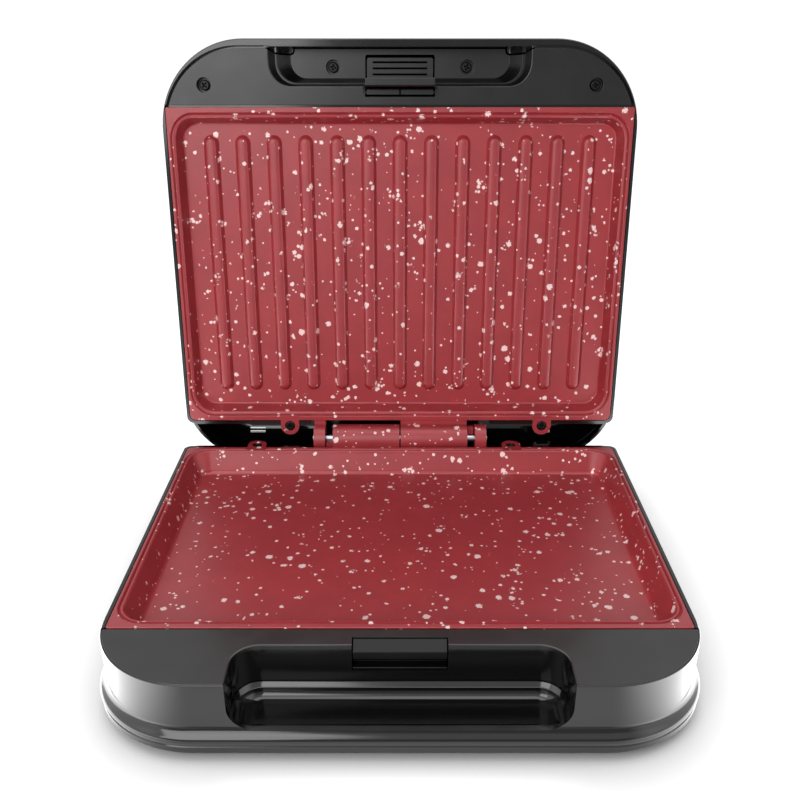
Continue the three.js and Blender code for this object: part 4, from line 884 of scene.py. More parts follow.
def metal(name, colour, roughness, metallic=1.0, stretch=(1.0, 1.0, 1.0)):
    """Bare or plated metal with fine drawing marks along one direction."""
    name = "grill_" + name
    if name in bpy.data.materials:
        return bpy.data.materials[name]
    material, tree, shader, vector = new_material(name, colour, roughness, metallic)
    mapping = new_node(tree, "ShaderNodeMapping", Vector=vector, Scale=stretch)
    grain = use_group(tree, grain_group(), mapping.outputs["Vector"], Scale=METAL["grain"])
    mottle = grain["Mottle"]
    dark = scaled(colour, METAL["shade"])
    tint = mix_colour(tree, ramp(tree, mottle, *MOTTLE), dark, colour)
    feed(tree, shader.inputs["Base Color"], tint)
    limits = roughness * METAL["least"], roughness * METAL["most"]
    rough = ramp(tree, mottle, *MOTTLE, *limits)
    feed(tree, shader.inputs["Roughness"], rough)
    bump(tree, shader, grain["Height"], METAL["bump"], GRAIN_HEIGHT)
    return material


def housing_plastic(settings):
    return moulded("housing_plastic", settings.housing_colour)


def frame_plastic(settings):
    return moulded("frame_plastic", settings.frame_colour, polished=True)


def catch_plastic(settings):
    """The frame's plastic with a dull face, for the catch that the hook rubs."""
    return moulded("catch_plastic", settings.frame_colour, specular=0.2)


def dark_plastic():
    return moulded("dark_plastic", srgb(24, 24, 25))


def zinc_steel():
    return metal("zinc_steel", srgb(170, 172, 176), 0.32)


def lens(name, colour):
    """Clear coloured plastic of an indicator lamp."""
    material, tree, shader, vector = new_material(name, colour, CLEAR["roughness"])
    shader.inputs["Coat Weight"].default_value = CLEAR["coat"]
    rings = new_node(tree, "ShaderNodeTexVoronoi", Vector=vector, Scale=CLEAR["rings"])
    bump(tree, shader, rings.outputs["Distance"], CLEAR["bump"], FLECK_HEIGHT)
    return material


# The two plates


def knuckles_of(which):
    """The (x0, x1) spans of the knuckles that a plate carries."""
    small = (KNUCKLE_END - SMALL_KNUCKLE, KNUCKLE_END)
    big = (KNUCKLE_GAP, KNUCKLE_GAP + BIG_KNUCKLE)
    if which == "base":
        return [(-big[1], -big[0]), small]
    return [big, (-small[1], -small[0])]


def lugs_of(which):
    return [NEAR_LUG, -FAR_LUG] if which == "base" else [-NEAR_LUG, FAR_LUG]


def plate_solid(which):
    """A plate in one piece: rim, groove, bead, tray wall and floor, with knuckles and lugs."""
    sign = 1 if which == "lid" else -1
    floor = SPLIT + TRAY_DEPTH[which]
    bead_in = -GROOVE - BEAD
    foot_in = bead_in - WALL_RUN[which]
    foot = TRAY_FOOT[which]
    rows = [
        (TRAY_PLAN, foot_in - foot + TRAY_SKIN, floor + TRAY_SKIN),
        (TRAY_PLAN, foot_in + TRAY_SKIN, floor + TRAY_SKIN - foot),
        (TRAY_PLAN, bead_in + TRAY_SKIN, SPLIT + FLANGE),
    ]
    rows += [(PLATE_PLAN, grow, SPLIT + depth) for depth, grow in PLATE_EDGE]
    for angle in arc(4):
        inwards = PLATE_LIP * (math.cos(angle) - 1)
        rows.append((PLATE_PLAN, inwards, SPLIT + PLATE_LIP * (1 - math.sin(angle))))
    rows.append((TRAY_PLAN, GROOVE_RUN, SPLIT))
    for i in range(1, 9):
        angle = math.pi * i / 8
        across = GROOVE_CENTRE + GROOVE * math.cos(angle)
        rows.append((TRAY_PLAN, across, SPLIT + GROOVE_DEPTH * math.sin(angle)))
    for angle in arc(8):
        depth = SPLIT + BEAD - BEAD * math.cos(angle)
        rows.append((TRAY_PLAN, bead_in + BEAD * (1 - math.sin(angle)), depth))
    for angle in arc(6):
        inwards = foot_in - foot * (1 - math.cos(angle))
        rows.append((TRAY_PLAN, inwards, floor - foot * (1 - math.sin(angle))))
    body = outward(loft([(outline(shape, grow), sign * depth) for shape, grow, depth in rows]))
    pan_rows = [(SPLIT - OVER, bead_in), (SPLIT + BEAD, bead_in)]
    pan_rows += [(floor - foot, foot_in), (floor + BITE, foot_in - foot)]
    hollow = swell(TRAY_PLAN, rising(which, shifted(pan_rows, 0, 0.2)))
    work = cut(fittings_solid(which, sign), hollow)
    head = span(sign * (SPLIT - OVER), sign * (SPLIT + LUG_SINK))
    shank = span(0, sign * (SPLIT + LUG_SKIN + OVER))
    skimmed = span(sign * (SPLIT - OVER), sign * (SPLIT + 0.01))
    holes, skims = [], []
    for x in lugs_of(which):
        holes += [post(HEAD_HOLE, *head, x, LUG_CENTRE), post(SHANK_HOLE, *shank, x, LUG_CENTRE)]
        skims.append(post(HEAD_HOLE + SEAM, *skimmed, x, LUG_CENTRE))
    work = cut(work, *holes)
    work = cut(work, rod(PIN + SEAM, -KNUCKLE_END - OVER, KNUCKLE_END + OVER, 0, 0))
    return cut(join(body, bevelled(tidied(work), WORK_ROUND, *KNUCKLE_EDGE)), *skims)


def fittings_solid(which, sign):
    """The knuckles of a plate, the stub beside them and the screw lugs."""
    pieces = []
    for x0, x1 in knuckles_of(which):
        web = block(x0, x1, 0, WEB_REACH, *span(sign * 3 * SPLIT, sign * KNUCKLE))
        pieces.append(join(web, rod(KNUCKLE, x0, x1, 0, 0, 2 * ROUND)))
    end = math.copysign(KNUCKLE_GAP + BIG_KNUCKLE, sum(knuckles_of(which)[0]))
    rear, front, height, width = STUB
    stub = span(end - math.copysign(1, end), end + math.copysign(width, end))
    pieces.append(block(*stub, rear, front, *span(0, sign * height)))
    levels = span(sign * SPLIT, sign * (SPLIT + LUG_SKIN))
    for x in lugs_of(which):
        tongue = block(x - LUG_HALF, x + LUG_HALF, LUG_CENTRE, PLATE_REAR + RIM, *levels)
        pieces.append(join(tongue, post(LUG_HALF, *levels, x, LUG_CENTRE)))
    return join(*pieces)


def rib_template():
    """One rib at the origin, standing towards -Z from a floor at height zero, with steep sides."""
    half_length = (RIB_FRONT - RIB_REAR) / 2
    height = bpy.context.scene.grill_plates.rib_height
    shoulder = height * RIB_SHOULDER
    shape = plan(RIB_HALF, half_length, -half_length, RIB_HALF, RIB_HALF, 10, 10)
    rows = [(RIB_ROOT, RIB_FOOT), (0.0, RIB_FOOT), (-0.12, RIB_FOOT * 0.4), (-RIB_FOOT, 0.0)]
    for angle in arc(10):
        inwards = RIB_SLANT + (RIB_HALF - RIB_SLANT - RIB_TOP_LEFT) * (1 - math.cos(angle))
        rows.append((-shoulder - (height - shoulder) * math.sin(angle), -inwards))
    return loft([(outline(shape, grow), z) for z, grow in sorted(rows)], "rib")


def copies_tree(name, labels):
    """Geometry nodes for painted copies of a piece: the tree, what it is given and the copies."""
    tree = bpy.data.node_groups.new(name, "GeometryNodeTree")
    labels = [("Geometry", "Geometry"), ("Piece", "Object"), *labels, ("Material", "Material")]
    for label, kind in labels:
        tree.interface.new_socket(label, in_out="INPUT", socket_type="NodeSocket" + kind)
    tree.interface.new_socket("Geometry", in_out="OUTPUT", socket_type="NodeSocketGeometry")
    given = tree.nodes.new("NodeGroupInput").outputs
    info = new_node(tree, "GeometryNodeObjectInfo", Object=given["Piece"])
    copies = new_node(tree, "GeometryNodeInstanceOnPoints", Instance=info.outputs["Geometry"])
    real = new_node(tree, "GeometryNodeRealizeInstances", Geometry=copies.outputs["Instances"])
    geometry, material = real.outputs["Geometry"], given["Material"]
    paint = new_node(tree, "GeometryNodeSetMaterial", Geometry=geometry, Material=material)
    new_node(tree, "NodeGroupOutput", Geometry=paint.outputs["Geometry"])
    return tree, given, copies


def line_tree():
    """Geometry nodes that stand copies of a piece in a row along X, about the origin."""
    tree, given, copies = copies_tree("row_of_ribs", [("Count", "Int"), ("Pitch", "Float")])
    count, pitch = given["Count"], given["Pitch"]
    line = new_node(tree, "GeometryNodeMeshLine", Count=count)
    width = math_node(tree, "MULTIPLY", math_node(tree, "SUBTRACT", count, 1.0), pitch)
    start = math_node(tree, "MULTIPLY", width, -0.5)
    for label, value in (("Offset", pitch), ("Start Location", start)):
        along = new_node(tree, "ShaderNodeCombineXYZ", X=value)
        feed(tree, line.inputs[label], along.outputs["Vector"])
    feed(tree, copies.inputs["Points"], line.outputs["Mesh"])
    return tree


def scatter_tree():
    """Geometry nodes that stand copies of a piece on the carrier's points, each spun a little."""
    tree, given, copies = copies_tree("fasteners_on_points", [("Spin", "Float"), ("Seed", "Int")])
    spin = new_node(tree, "FunctionNodeRandomValue", Seed=given["Seed"])
    spin.data_type = "FLOAT"
    feed(tree, spin.inputs[3], given["Spin"])
    turn = new_node(tree, "ShaderNodeCombineXYZ", Z=spin.outputs[1])
    feed(tree, copies.inputs["Points"], given["Geometry"])
    feed(tree, copies.inputs["Rotation"], turn.outputs["Vector"])
    return tree


def grown(tree, carrier, **values):
    """The plain mesh that a geometry tree makes on a carrier object."""
    modifier = carrier.modifiers.new("grow", "NODES")
    modifier.node_group = tree
    for item in tree.interface.items_tree:
        if item.in_out == "INPUT" and item.name in values:
            modifier[item.identifier] = values[item.name]
    carrier.update_tag()
    return made_real(carrier)


def tree_named(name, make):
    return bpy.data.node_groups.get(name) or make()


def screw_template(sign):
    """A cross-recessed screw with its seat at height zero and its head along sign times Z."""
    profile = [(0, -SCREW_LENGTH), (SHANK * 0.6, -SCREW_LENGTH)]
    profile += [(SHANK, -SCREW_LENGTH + SCREW_POINT), (SHANK, 0), (HEAD, 0)]
    for angle in arc(6):
        height = HEAD_HEIGHT - HEAD_ROUND + HEAD_ROUND * math.sin(angle)
        profile.append((HEAD - HEAD_ROUND * (1 - math.cos(angle)), height))
    body = turned(profile + [(0, HEAD_HEIGHT)], steps=36)
    arms = []
    for half_x, half_y in (CROSS, CROSS[::-1]):
        mouth = [(-half_x, -half_y), (half_x, -half_y), (half_x, half_y), (-half_x, half_y)]
        foot = [(x / 2, y / 2) for x, y in mouth]
        arms.append(loft([(foot, HEAD_HEIGHT - CROSS_DEPTH), (mouth, HEAD_HEIGHT + 0.1)]))
    body = cut(body, *arms)
    if sign < 0:
        body.data.transform(Matrix.Rotation(math.pi, 4, "X"))
    return bevelled(tidied(body, 0.2), SCREW_ROUND, *SCREW_EDGE)


def fasteners(name, node, places, sign, body, slot, material, seed, template=None):
    """Screws or feet at places of (x, forwards, height), as one piece for numbered nodes."""
    carrier = mesh_object(name, [(x, -forwards, z) for x, forwards, z in places], [])
    piece = template or screw_template(sign)
    tree = tree_named("fasteners_on_points", scatter_tree)
    grown(tree, carrier, Piece=piece, Spin=math.pi, Seed=seed, Material=material)
    bpy.data.objects.remove(piece, do_unlink=True)
    nodes = [f"{node}_{i}" for i in range(1, len(places) + 1)]
    return finish(carrier, name, body, nodes, slot, material)


def foot_template():
    """A foot with a plug, its top at height zero under the cover."""
    x, z = FOOT_CURVE
    profile = list(FOOT_UNDER)
    for angle in arc(5):
        height = z + FOOT_ROUND * (1 - math.cos(angle))
        profile.append((x + FOOT_ROUND * math.sin(angle), height))
    return turned(profile + FOOT_ABOVE)


def at_height(places, height):
    """Places of (x, forwards, height) from places of (x, forwards)."""
    return [(x, forwards, height) for x, forwards in places]


# Base


def skirt_rows():
    """Wall, hollow, bulge, groove and foot of the skirt, as pairs of depth and growth."""
    rows = [(SKIRT_TOP, 0.0), (HOLLOW_TOP, 0.0)]
    tilt = math.radians(SKIRT_TILT)
    for i in range(1, 9):
        angle = tilt * i / 8
        rows.append((HOLLOW_TOP + HOLLOW * math.sin(angle), HOLLOW * (1 - math.cos(angle))))
    depth = rows[-1][0] + SKIRT_SLOPE / math.tan(tilt) + BULGE * math.sin(tilt)
    grow = rows[-1][1] + SKIRT_SLOPE - BULGE * math.cos(tilt)
    for i in range(13):
        angle = tilt - (tilt + math.radians(UNDERCUT)) * i / 12
        rows.append((depth - BULGE * math.sin(angle), grow + BULGE * math.cos(angle)))
    edge = rows[-1][1]
    rows += shifted(SKIRT_GROOVE, SKIRT_FACE, edge)
    return rows + shifted(SKIRT_END, HOUSING_BOTTOM, edge)


def recess_section(half, depth, radius):
    """Cross-section of the finger recess, open at the top, with round lower corners."""
    points = [(-half, OVER)]
    for x, start in ((radius - half, 2), (half - radius, 3)):
        for i in range(MID + 1):
            angle = (start + i / MID) * QUARTER
            height = radius - depth + radius * math.sin(angle)
            points.append((x + radius * math.cos(angle), height))
    return points + [(half, OVER)]


def stop_pad(x):
    """A pad on the tail that the open lid's heel rests against."""
    reach = HEEL_REAR - SEAM
    sine, cosine = math.sin(OPEN_ANGLE), math.cos(OPEN_ANGLE)
    near, far = (
        (reach * cosine - away * sine, reach * sine + away * cosine) for away in PAD_REACH
    )
    foot = -SHELF - BITE
    return beam([near, far, (far[0], foot), (near[0], foot)], x - PAD_HALF, x + PAD_HALF)


def housing_outside(skirt):
    """The base housing without its hollows: wall, skirt, tail and the rim behind the plate."""
    wall = swell(BODY_PLAN, rising("base", [(LEDGE_DEPTH, 0.0)] + skirt[:-1]))
    edge = shifted(HOUSING_EDGE, SPLIT) + [(LEDGE_DEPTH, 0.0)]
    edge = ahead(swell(BODY_PLAN, rising("base", edge)), PLATE_FRONT + SEAM)
    tail = [(SHELF, -0.5), (SHELF + BITE, 0.0)] + [row for row in skirt if row[1] > 0]
    rim = shifted(BASE_RIM_EDGE, SPLIT, -RIM_INSET) + [(LEDGE_DEPTH + BITE, -RIM_INSET)]
    return join(
        join(wall, edge),
        swell(TAIL_PLAN, rising("base", tail)),
        swell(BASE_RIM_PLAN, rising("base", rim)),
    )


def base_housing_solid():
    skirt = skirt_rows()
    thin = shifted(skirt, 0.0, -WALL)
    thin[-1] = (HOUSING_BOTTOM + OVER, thin[-1][1])
    tail = [(SHELF + WALL, -WALL)] + [row for row in thin if row[0] > SHELF + WALL]
    under = LEDGE_DEPTH + LEDGE_SKIN
    deck = SPLIT + DECK_SKIN + SEAM
    body = cut(
        housing_outside(skirt),
        swell(BODY_PLAN, rising("base", [(under, -WALL)] + thin)),
        swell(TAIL_PLAN, rising("base", tail)),
        slab(PLATE_PLAN, -under - OVER, OVER, -LEDGE_WIDTH),
        slab(PLATE_PLAN, -LEDGE_DEPTH, OVER, SEAM),
        ahead(slab(BODY_PLAN, -deck, OVER, -DECK_INSET), PLATE_FRONT + SEAM),
        ahead(slab(BODY_PLAN, -under - OVER, OVER, -WALL), DECK_REAR + LEDGE_WIDTH),
        block(-BAY_HALF, BAY_HALF, -OVER, BAY_FRONT, -BAY_DEPTH, OVER),
        block(-PLATE_HALF, PLATE_HALF, PLATE_FRONT, DECK_REAR, LEAST - under, OVER),
    )
    boss_top = -SPLIT - LUG_SKIN - SEAM
    boss_foot = boss_top - SCREW_LENGTH
    for x in lugs_of("base"):
        body = cut(body, lug_bay(x, boss_top, OVER))
        body = join(body, post(BOSS, boss_foot, boss_top, x, LUG_CENTRE))
        body = cut(body, post(SHANK_HOLE, boss_foot - OVER, OVER, x, LUG_CENTRE))
    bore = -HOUSING_BOTTOM - OVER, SCREW_LENGTH - HOUSING_BOTTOM
    for place_at in COVER_SCREWS:
        body = join(body, post(BOSS, -HOUSING_BOTTOM, COVER_BOSS_TOP, *place_at))
        body = cut(body, post(SHANK_HOLE, *bore, *place_at))
    body = join(body, stop_pad(-PAD_X), stop_pad(PAD_X))
    cup, room, mouth = cup_solids()
    body = cut(join(body, cup), room, mouth)
    gland = rod(GLAND["radius"], -GLAND["half"], GLAND["half"], 0, 0)
    centre = Matrix.Translation((GLAND["x"], -TAIL_REAR, -GLAND["depth"]))
    gland.data.transform(centre @ Matrix.Rotation(QUARTER, 4, "Z"))
    return cut(body, gland)


def cup_solids():
    """The finger recess of the base: its cup, the room in the cup and its mouth in the wall."""
    cup_top = SPLIT + RECESS_WALL_DEPTH + SEAM
    cup_bottom = RECESS_FLOOR + RECESS_SKIN
    cup = common(
        slab(RECESS_PLAN, -cup_bottom, -cup_top, RECESS_SKIN),
        slab(BODY_PLAN, -cup_bottom - OVER, 0, -WALL / 2),
    )
    rows = [(SPLIT - OVER, -RECESS_LEDGE[0][1])]
    rows += [(depth, -inset) for depth, inset in RECESS_LEDGE]
    foot_in = rows[-1][1]
    for angle in arc(8, 1):
        depth = RECESS_FLOOR - RECESS_FOOT * (1 - math.sin(angle))
        rows.append((depth, foot_in - RECESS_FOOT * (1 - math.cos(angle))))
    ramp_end = BASE_FRONT - WALL
    profile = [(RECESS_LIP, -cup_bottom), (RECESS_LIP, -RECESS_FLOOR - BITE)]
    for i in range(13):
        share = i / 12
        height = -RECESS_FLOOR + share * share * (RECESS_FLOOR - MOUTH_DEPTH)
        profile.append((RECESS_LIP + share * (ramp_end - RECESS_LIP), height))
    profile += [(ramp_end + OVER, -MOUTH_DEPTH), (ramp_end + OVER, -cup_bottom)]
    section = recess_section(RECESS_HALF - RECESS_INSET, RECESS_FLOOR, RECESS_FLOOR_RADIUS)
    room = common(
        swell(RECESS_PLAN, rising("base", rows)),
        tunnel(section, RECESS_BACK - OVER, ramp_end + BITE),
    )
    room = cut(room, beam(profile, -RECESS_HALF - OVER, RECESS_HALF + OVER))
    section = recess_section(RECESS_HALF, MOUTH_DEPTH, MOUTH_RADIUS)
    return cup, room, tunnel(section, ramp_end, BASE_FRONT + SKIRT_FLARE + OVER)


def lug_bay(x, low, high):
    """Room for a screw lug of a plate."""
    return block(x - LUG_HALF - SEAM, x + LUG_HALF + SEAM, 0, PLATE_REAR + RIM, low, high)


def base_deck_solid():
    under = SPLIT + DECK_SKIN
    foot = SPLIT + RECESS_WALL_DEPTH
    plate = swell(BODY_PLAN, rising("base", shifted(DECK_EDGE, 0.0, -DECK_INSET)))
    ring = cut(
        slab(BODY_PLAN, -under - OVER, -under + BITE, -WALL - SEAM),
        slab(BODY_PLAN, -under - 2 * OVER, OVER, -2 * WALL - SEAM),
    )
    wall = common(
        slab(RECESS_PLAN, -foot, -SPLIT - BITE, RECESS_SKIN),
        slab(BODY_PLAN, -foot - OVER, 0, -WALL - SEAM),
    )
    opening = [(foot + OVER, 0.0), *shifted(RECESS_EDGE, SPLIT), (-OVER, RECESS_EDGE[-1][1])]
    notch = plan(
        CATCH_HALF + SEAM, RECESS_BACK + OVER, NOTCH_REAR, LEAST, NOTCH_RADIUS, 1, SMALL
    )
    return cut(
        join(ahead(plate, DECK_REAR), ahead(ring, DECK_REAR + LEDGE_WIDTH + SEAM), wall),
        swell(RECESS_PLAN, rising("base", opening)),
        slab(notch, -SPLIT - NOTCH_DEPTH, OVER),
    )


def catch_solid():
    profile = [(forwards, -SPLIT - depth) for forwards, depth in CATCH_SHAPE]
    return beam(profile, -CATCH_HALF, CATCH_HALF)


def cover_solid():
    foot = SKIRT_FLARE - SKIRT_FOOT - COVER_INSET
    bottom = COVER_TOP + COVER_SKIN
    rows = [(COVER_TOP, foot), (bottom - COVER_ROUND, foot)]
    for angle in arc(4, 1):
        depth = bottom - COVER_ROUND * (1 - math.sin(angle))
        rows.append((depth, foot - COVER_ROUND * (1 - math.cos(angle))))
    low, high = -bottom - OVER, OVER - COVER_TOP
    holes = [post(FOOT_HOLE, low, high, *place_at) for place_at in FOOT_PLACES]
    for place_at in COVER_SCREWS:
        holes.append(post(SHANK_HOLE, low, 0, *place_at))
        holes.append(post(HEAD_HOLE, low, -bottom + COVER_SKIN / 2, *place_at))
    half, reach, radius, x = COVER_VENT.values()
    for side in (-x, x):
        for forwards in COVER_VENTS:
            shape = plan(half, forwards + reach, forwards - reach, radius, radius, SMALL, SMALL)
            vent = slab(shape, low, high)
            vent.data.transform(Matrix.Translation((side, 0, 0)))
            holes.append(vent)
    return cut(swell(TAIL_PLAN, rising("base", rows)), *holes)


# Lid


def lid_rows(inset, lowest, steps=10):
    """Outer rows of the lid: a drafted side, a round shoulder and a low crown."""
    side = -LID_DRAFT - inset
    rows = [(lowest, -inset), (LID_SIDE, side)]
    for angle in arc(steps, 1):
        height = LID_SIDE + (LID_SHOULDER - inset) * math.sin(angle)
        rows.append((height, side - LID_SHOULDER * (1 - math.cos(angle))))
    for i in range(1, steps + 1):
        share = i / steps
        height = LID_SIDE + LID_SHOULDER - inset + LID_RISE * (1 - (1 - share) ** 2)
        rows.append((height, side - LID_SHOULDER - LID_CROWN * share))
    return rows


def boss_end(mouth):
    """The far end of a screw well of the lid frame."""
    return mouth + HEAD_HEIGHT + 2 * WALL


def frame_screw_places():
    pocket = SPLIT + POCKET_DEPTH
    return [
        (-SIDE_SCREW[0], SIDE_SCREW[1], SPLIT),
        (SIDE_SCREW[0], SIDE_SCREW[1], SPLIT),
        (-POCKET_SCREW[0], POCKET_SCREW[1], pocket),
        (POCKET_SCREW[0], POCKET_SCREW[1], pocket),
    ]


def gap_ring(shape, depth):
    """A cutter for the dark gap round the lid's frame."""
    outer, inner = GAP_RING
    ring = cut(slab(shape, -OVER, depth, outer), slab(shape, -2 * OVER, depth + OVER, inner))
    return ahead(ring, DECK_REAR)


def lid_shell_solid():
    rear_opening = common(
        slab(LID_PLAN, -OVER, LID_RIM + OVER, -WALL),
        block(-BODY_HALF, BODY_HALF, HEEL_REAR, RIM_REAR, -OVER, LID_RIM + OVER),
    )
    rim = shifted(LID_RIM_EDGE, SPLIT, -RIM_INSET) + [(LID_RIM, -RIM_INSET)]
    body = cut(
        join(
            swell(LID_PLAN, shifted(LID_EDGE, SPLIT) + lid_rows(0.0, SPLIT - LID_EDGE[0][1])),
            swell(LID_RIM_PLAN, rim),
        ),
        swell(LID_PLAN, lid_rows(WALL, LID_RIM)),
        rear_opening,
        slab(PLATE_PLAN, -OVER, LEDGE_DEPTH, SEAM),
        slab(PLATE_PLAN, -OVER, LID_RIM + OVER, -LEDGE_WIDTH),
        slab(LID_RIM_PLAN, LEDGE_DEPTH + LEDGE_SKIN, LID_RIM + OVER, -WALL),
        ahead(slab(FRAME_PLAN, -OVER, SPLIT + FRAME_SKIN + SEAM, SEAM), PLATE_FRONT + SEAM),
        ahead(slab(FRAME_PLAN, -OVER, LID_RIM + OVER, -LEDGE_WIDTH), DECK_REAR + LEDGE_WIDTH),
        block(-BAY_HALF, BAY_HALF, HEEL_REAR + WALL, BAY_FRONT, -OVER, BAY_DEPTH),
        block(-PLATE_HALF, PLATE_HALF, PLATE_FRONT, DECK_REAR, -OVER, LID_RIM - LEAST),
        gap_ring(FRAME_PLAN, LID_RIM - LEAST),
    )
    for x in lugs_of("lid"):
        body = cut(body, lug_bay(x, -OVER, SPLIT + LUG_SKIN + SEAM))
    lip = FRAME_FRONT + SEAM
    edge = RECESS_HALF + RECESS_SKIN
    body = join(body, block(-edge, edge, lip, LID_FRONT - WALL / 2, SPLIT + BITE, LIP_HEIGHT))
    edge += SEAM
    body = cut(body, block(-edge, edge, FRAME_FRONT - 2 * OVER, lip, -OVER, LID_RIM + OVER))
    for sign in (-1, 1):
        tab = tab_prism(sign, TAB_SHAPE, 0, SPLIT + POCKET_DEPTH + OVER)
        body = join(body, common(pocket_body(2 * SEAM, lip + SEAM), tab))
    roof = LID_TOP - WALL / 2
    places = [(x, LUG_CENTRE, SPLIT + LUG_SKIN) for x in lugs_of("lid")]
    places += [(x, forwards, boss_end(mouth)) for x, forwards, mouth in frame_screw_places()]
    for x, forwards, below in places:
        foot = below + SEAM
        inside = swell(LID_PLAN, lid_rows(WALL / 2, -OVER))
        body = join(body, common(post(BOSS, foot, roof, x, forwards), inside))
        body = cut(body, post(SHANK_HOLE, foot - OVER, foot + LID_BORE, x, forwards))
    radius, bore, depth = LAMP_POST
    for x in (-LAMP_X, LAMP_X):
        body = join(body, post(radius, LID_TOP - depth, roof, x, LAMP_FRONT))
        body = cut(body, post(bore, LID_TOP - depth - OVER, LID_TOP + OVER, x, LAMP_FRONT))
    vents = []
    for far, *rest in LID_VENTS:
        vents += [block(LID_VENT_X, far, *rest), block(-far, -LID_VENT_X, *rest)]
    return cut(body, *vents)


def pocket_outline(share, grow=0.0):
    """Outline of the finger pocket: share 0 is its mouth and share 1 is the edge of its floor."""
    half, back, radius = (
        mouth + share * (floor - mouth)
        for mouth, floor in (
            (RECESS_HALF, POCKET_FLOOR_HALF),
            (POCKET_BACK, POCKET_FLOOR_BACK),
            (RECESS_RADIUS, POCKET_FLOOR_RADIUS),
        )
    )
    return outline(plan(half, LID_FRONT + BASE_CORNER, back, LEAST, radius, 1, MID), grow)


def pocket_body(edge, front):
    """The frame's face with its pocket: a steep wall, a groove, a slope and a flat floor."""
    floor_back = SPLIT + POCKET_DEPTH + POCKET_BASE
    reach = 2 * BODY_HALF
    plate = ahead(swell(FRAME_PLAN, shifted(FRAME_EDGE, SPLIT, edge)), DECK_REAR)
    rows = [(pocket_outline(lean, POCKET_BASE), SPLIT + depth) for lean, depth in POCKET_SKIN]
    cup = loft(rows + [(pocket_outline(1, POCKET_BASE), floor_back)])
    cup = common(cup, block(-reach, reach, DECK_REAR, front, 0, floor_back + OVER))
    rows = [(pocket_outline(0, grow), SPLIT + depth) for depth, grow in POCKET_EDGE]
    rows += [(pocket_outline(lean), SPLIT + depth) for lean, depth in POCKET_WALL]
    return cut(join(plate, cup), loft(rows))


def tab_prism(sign, points, low, high):
    """A prism of one hand tab's outline, on either side of the pocket."""
    line = [(sign * x, -(FRAME_FRONT + forwards)) for x, forwards in points][::sign]
    return loft([(line, low), (line, high)])


def screw_wells(body):
    """The frame with its four screw wells."""
    for x, forwards, mouth in frame_screw_places():
        end = boss_end(mouth)
        body = join(body, post(BOSS, mouth + BITE, end, x, forwards))
        profile = [(WELL + grow, mouth + depth) for grow, depth in WELL_EDGE]
        profile = [(0, mouth - OVER), *profile, (WELL, end - WALL), (0, end - WALL)]
        well = turned(profile, x, forwards)
        body = cut(body, well, post(SHANK_HOLE, mouth, end + OVER, x, forwards))
    return body


def lid_frame_solid():
    back = SPLIT + FRAME_SKIN
    floor = SPLIT + POCKET_DEPTH
    top = floor + POCKET_BASE + OVER
    room = BUTTON_ROOM
    button = plan(room, BUTTON_FRONT + ROOM_FRONT, POCKET_BACK - SEAM, *ROOM_RADII, SMALL, 1)
    body = pocket_body(-FRAME_INSET, FRAME_FRONT - SEAM)
    for sign in (-1, 1):
        body = cut(body, tab_prism(sign, TAB_SLOT, -OVER, top))
    body = cut(
        screw_wells(body),
        slab(button, floor - OVER, top),
        block(-room, room, HOOK_NOSE - SEAM, BUTTON_REAR + OVER, -OVER, top),
    )
    body = cut(body, block(-room, room, WINDOW_REAR, HOOK_NOSE, -OVER, back + OVER))
    rear, front, width = WINDOW_NOTCH
    for sign in (-1, 1):
        across = span(sign * (room - 0.1), sign * (room + width))
        body = cut(body, block(*across, rear, front, -OVER, back + OVER))
    side = room + WALL
    middle = (WINDOW_REAR + HOOK_NOSE) / 2
    for x0, x1 in ((-side, -room), (room, side)):
        ends = middle - BRACKET_HALF, middle + BRACKET_HALF
        body = join(body, block(x0, x1, *ends, back - LEAST, back + BRACKET_TOP))
    for x0, x1 in PADS:
        rear, front = WINDOW_REAR + PAD_GAP, HOOK_NOSE - PAD_GAP
        pad = block(x0, x1, rear, front, SPLIT + PAD_DEPTHS[0], back + PAD_DEPTHS[1])
        x0, x1 = (-side, x1) if x1 < 0 else (x0, side)
        ends = middle - BAR_HALF, middle + BAR_HALF
        bar = block(x0, x1, *ends, back + BAR_FOOT, back + BRACKET_TOP)
        body = join(body, pad, bar)
    forwards, height = LATCH_PIN
    behind, before, width, above = EAR
    for sign in (-1, 1):
        x0, x1 = span(sign * room, sign * (room + width))
        ear = block(x0, x1, forwards + behind, forwards + before, floor, height + above)
        body = cut(join(body, ear), rod(PIN_BORE, x0 - OVER, x1 + OVER, *LATCH_PIN))
    return body


def lever_solid():
    """Latch lever: a button, still without its grooves, a stem, a hook and a barrel for the pin.
    """
    face = SPLIT + POCKET_DEPTH - BUTTON_PROUD
    back = face + BUTTON_SKIN
    half = LATCH_HALF
    forwards, height = LATCH_PIN
    tip, neck = -SPLIT - HOOK_BOTTOM, -SPLIT - HOOK_TOP
    narrow, short = BUTTON_EASE
    front = BUTTON_FRONT - short
    button = plan(half - narrow, front, STEM_REAR, *BUTTON_RADII, SMALL, SMALL)
    nose = [(STEM_FRONT, tip), (STEM_FRONT, neck), (HOOK_NOSE, neck)]
    nose += [(HOOK_NOSE, tip + HOOK_CHAMFER), (HOOK_NOSE + HOOK_CHAMFER, tip)]
    body = join(
        slab(button, face, back),
        block(-half, half, STEM_REAR, STEM_FRONT, tip, back),
        beam(nose, -half, half),
        block(-half, half, forwards - BARREL / 2, forwards + BARREL / 2, face + BITE, height),
        rod(BARREL, -half, half, *LATCH_PIN),
    )
    spring = SPRING_ROOM
    return cut(
        body,
        rod(PIN_BORE, -half - OVER, half + OVER, *LATCH_PIN),
        block(-spring, spring, forwards - spring, forwards + spring, back, height + spring),
    )


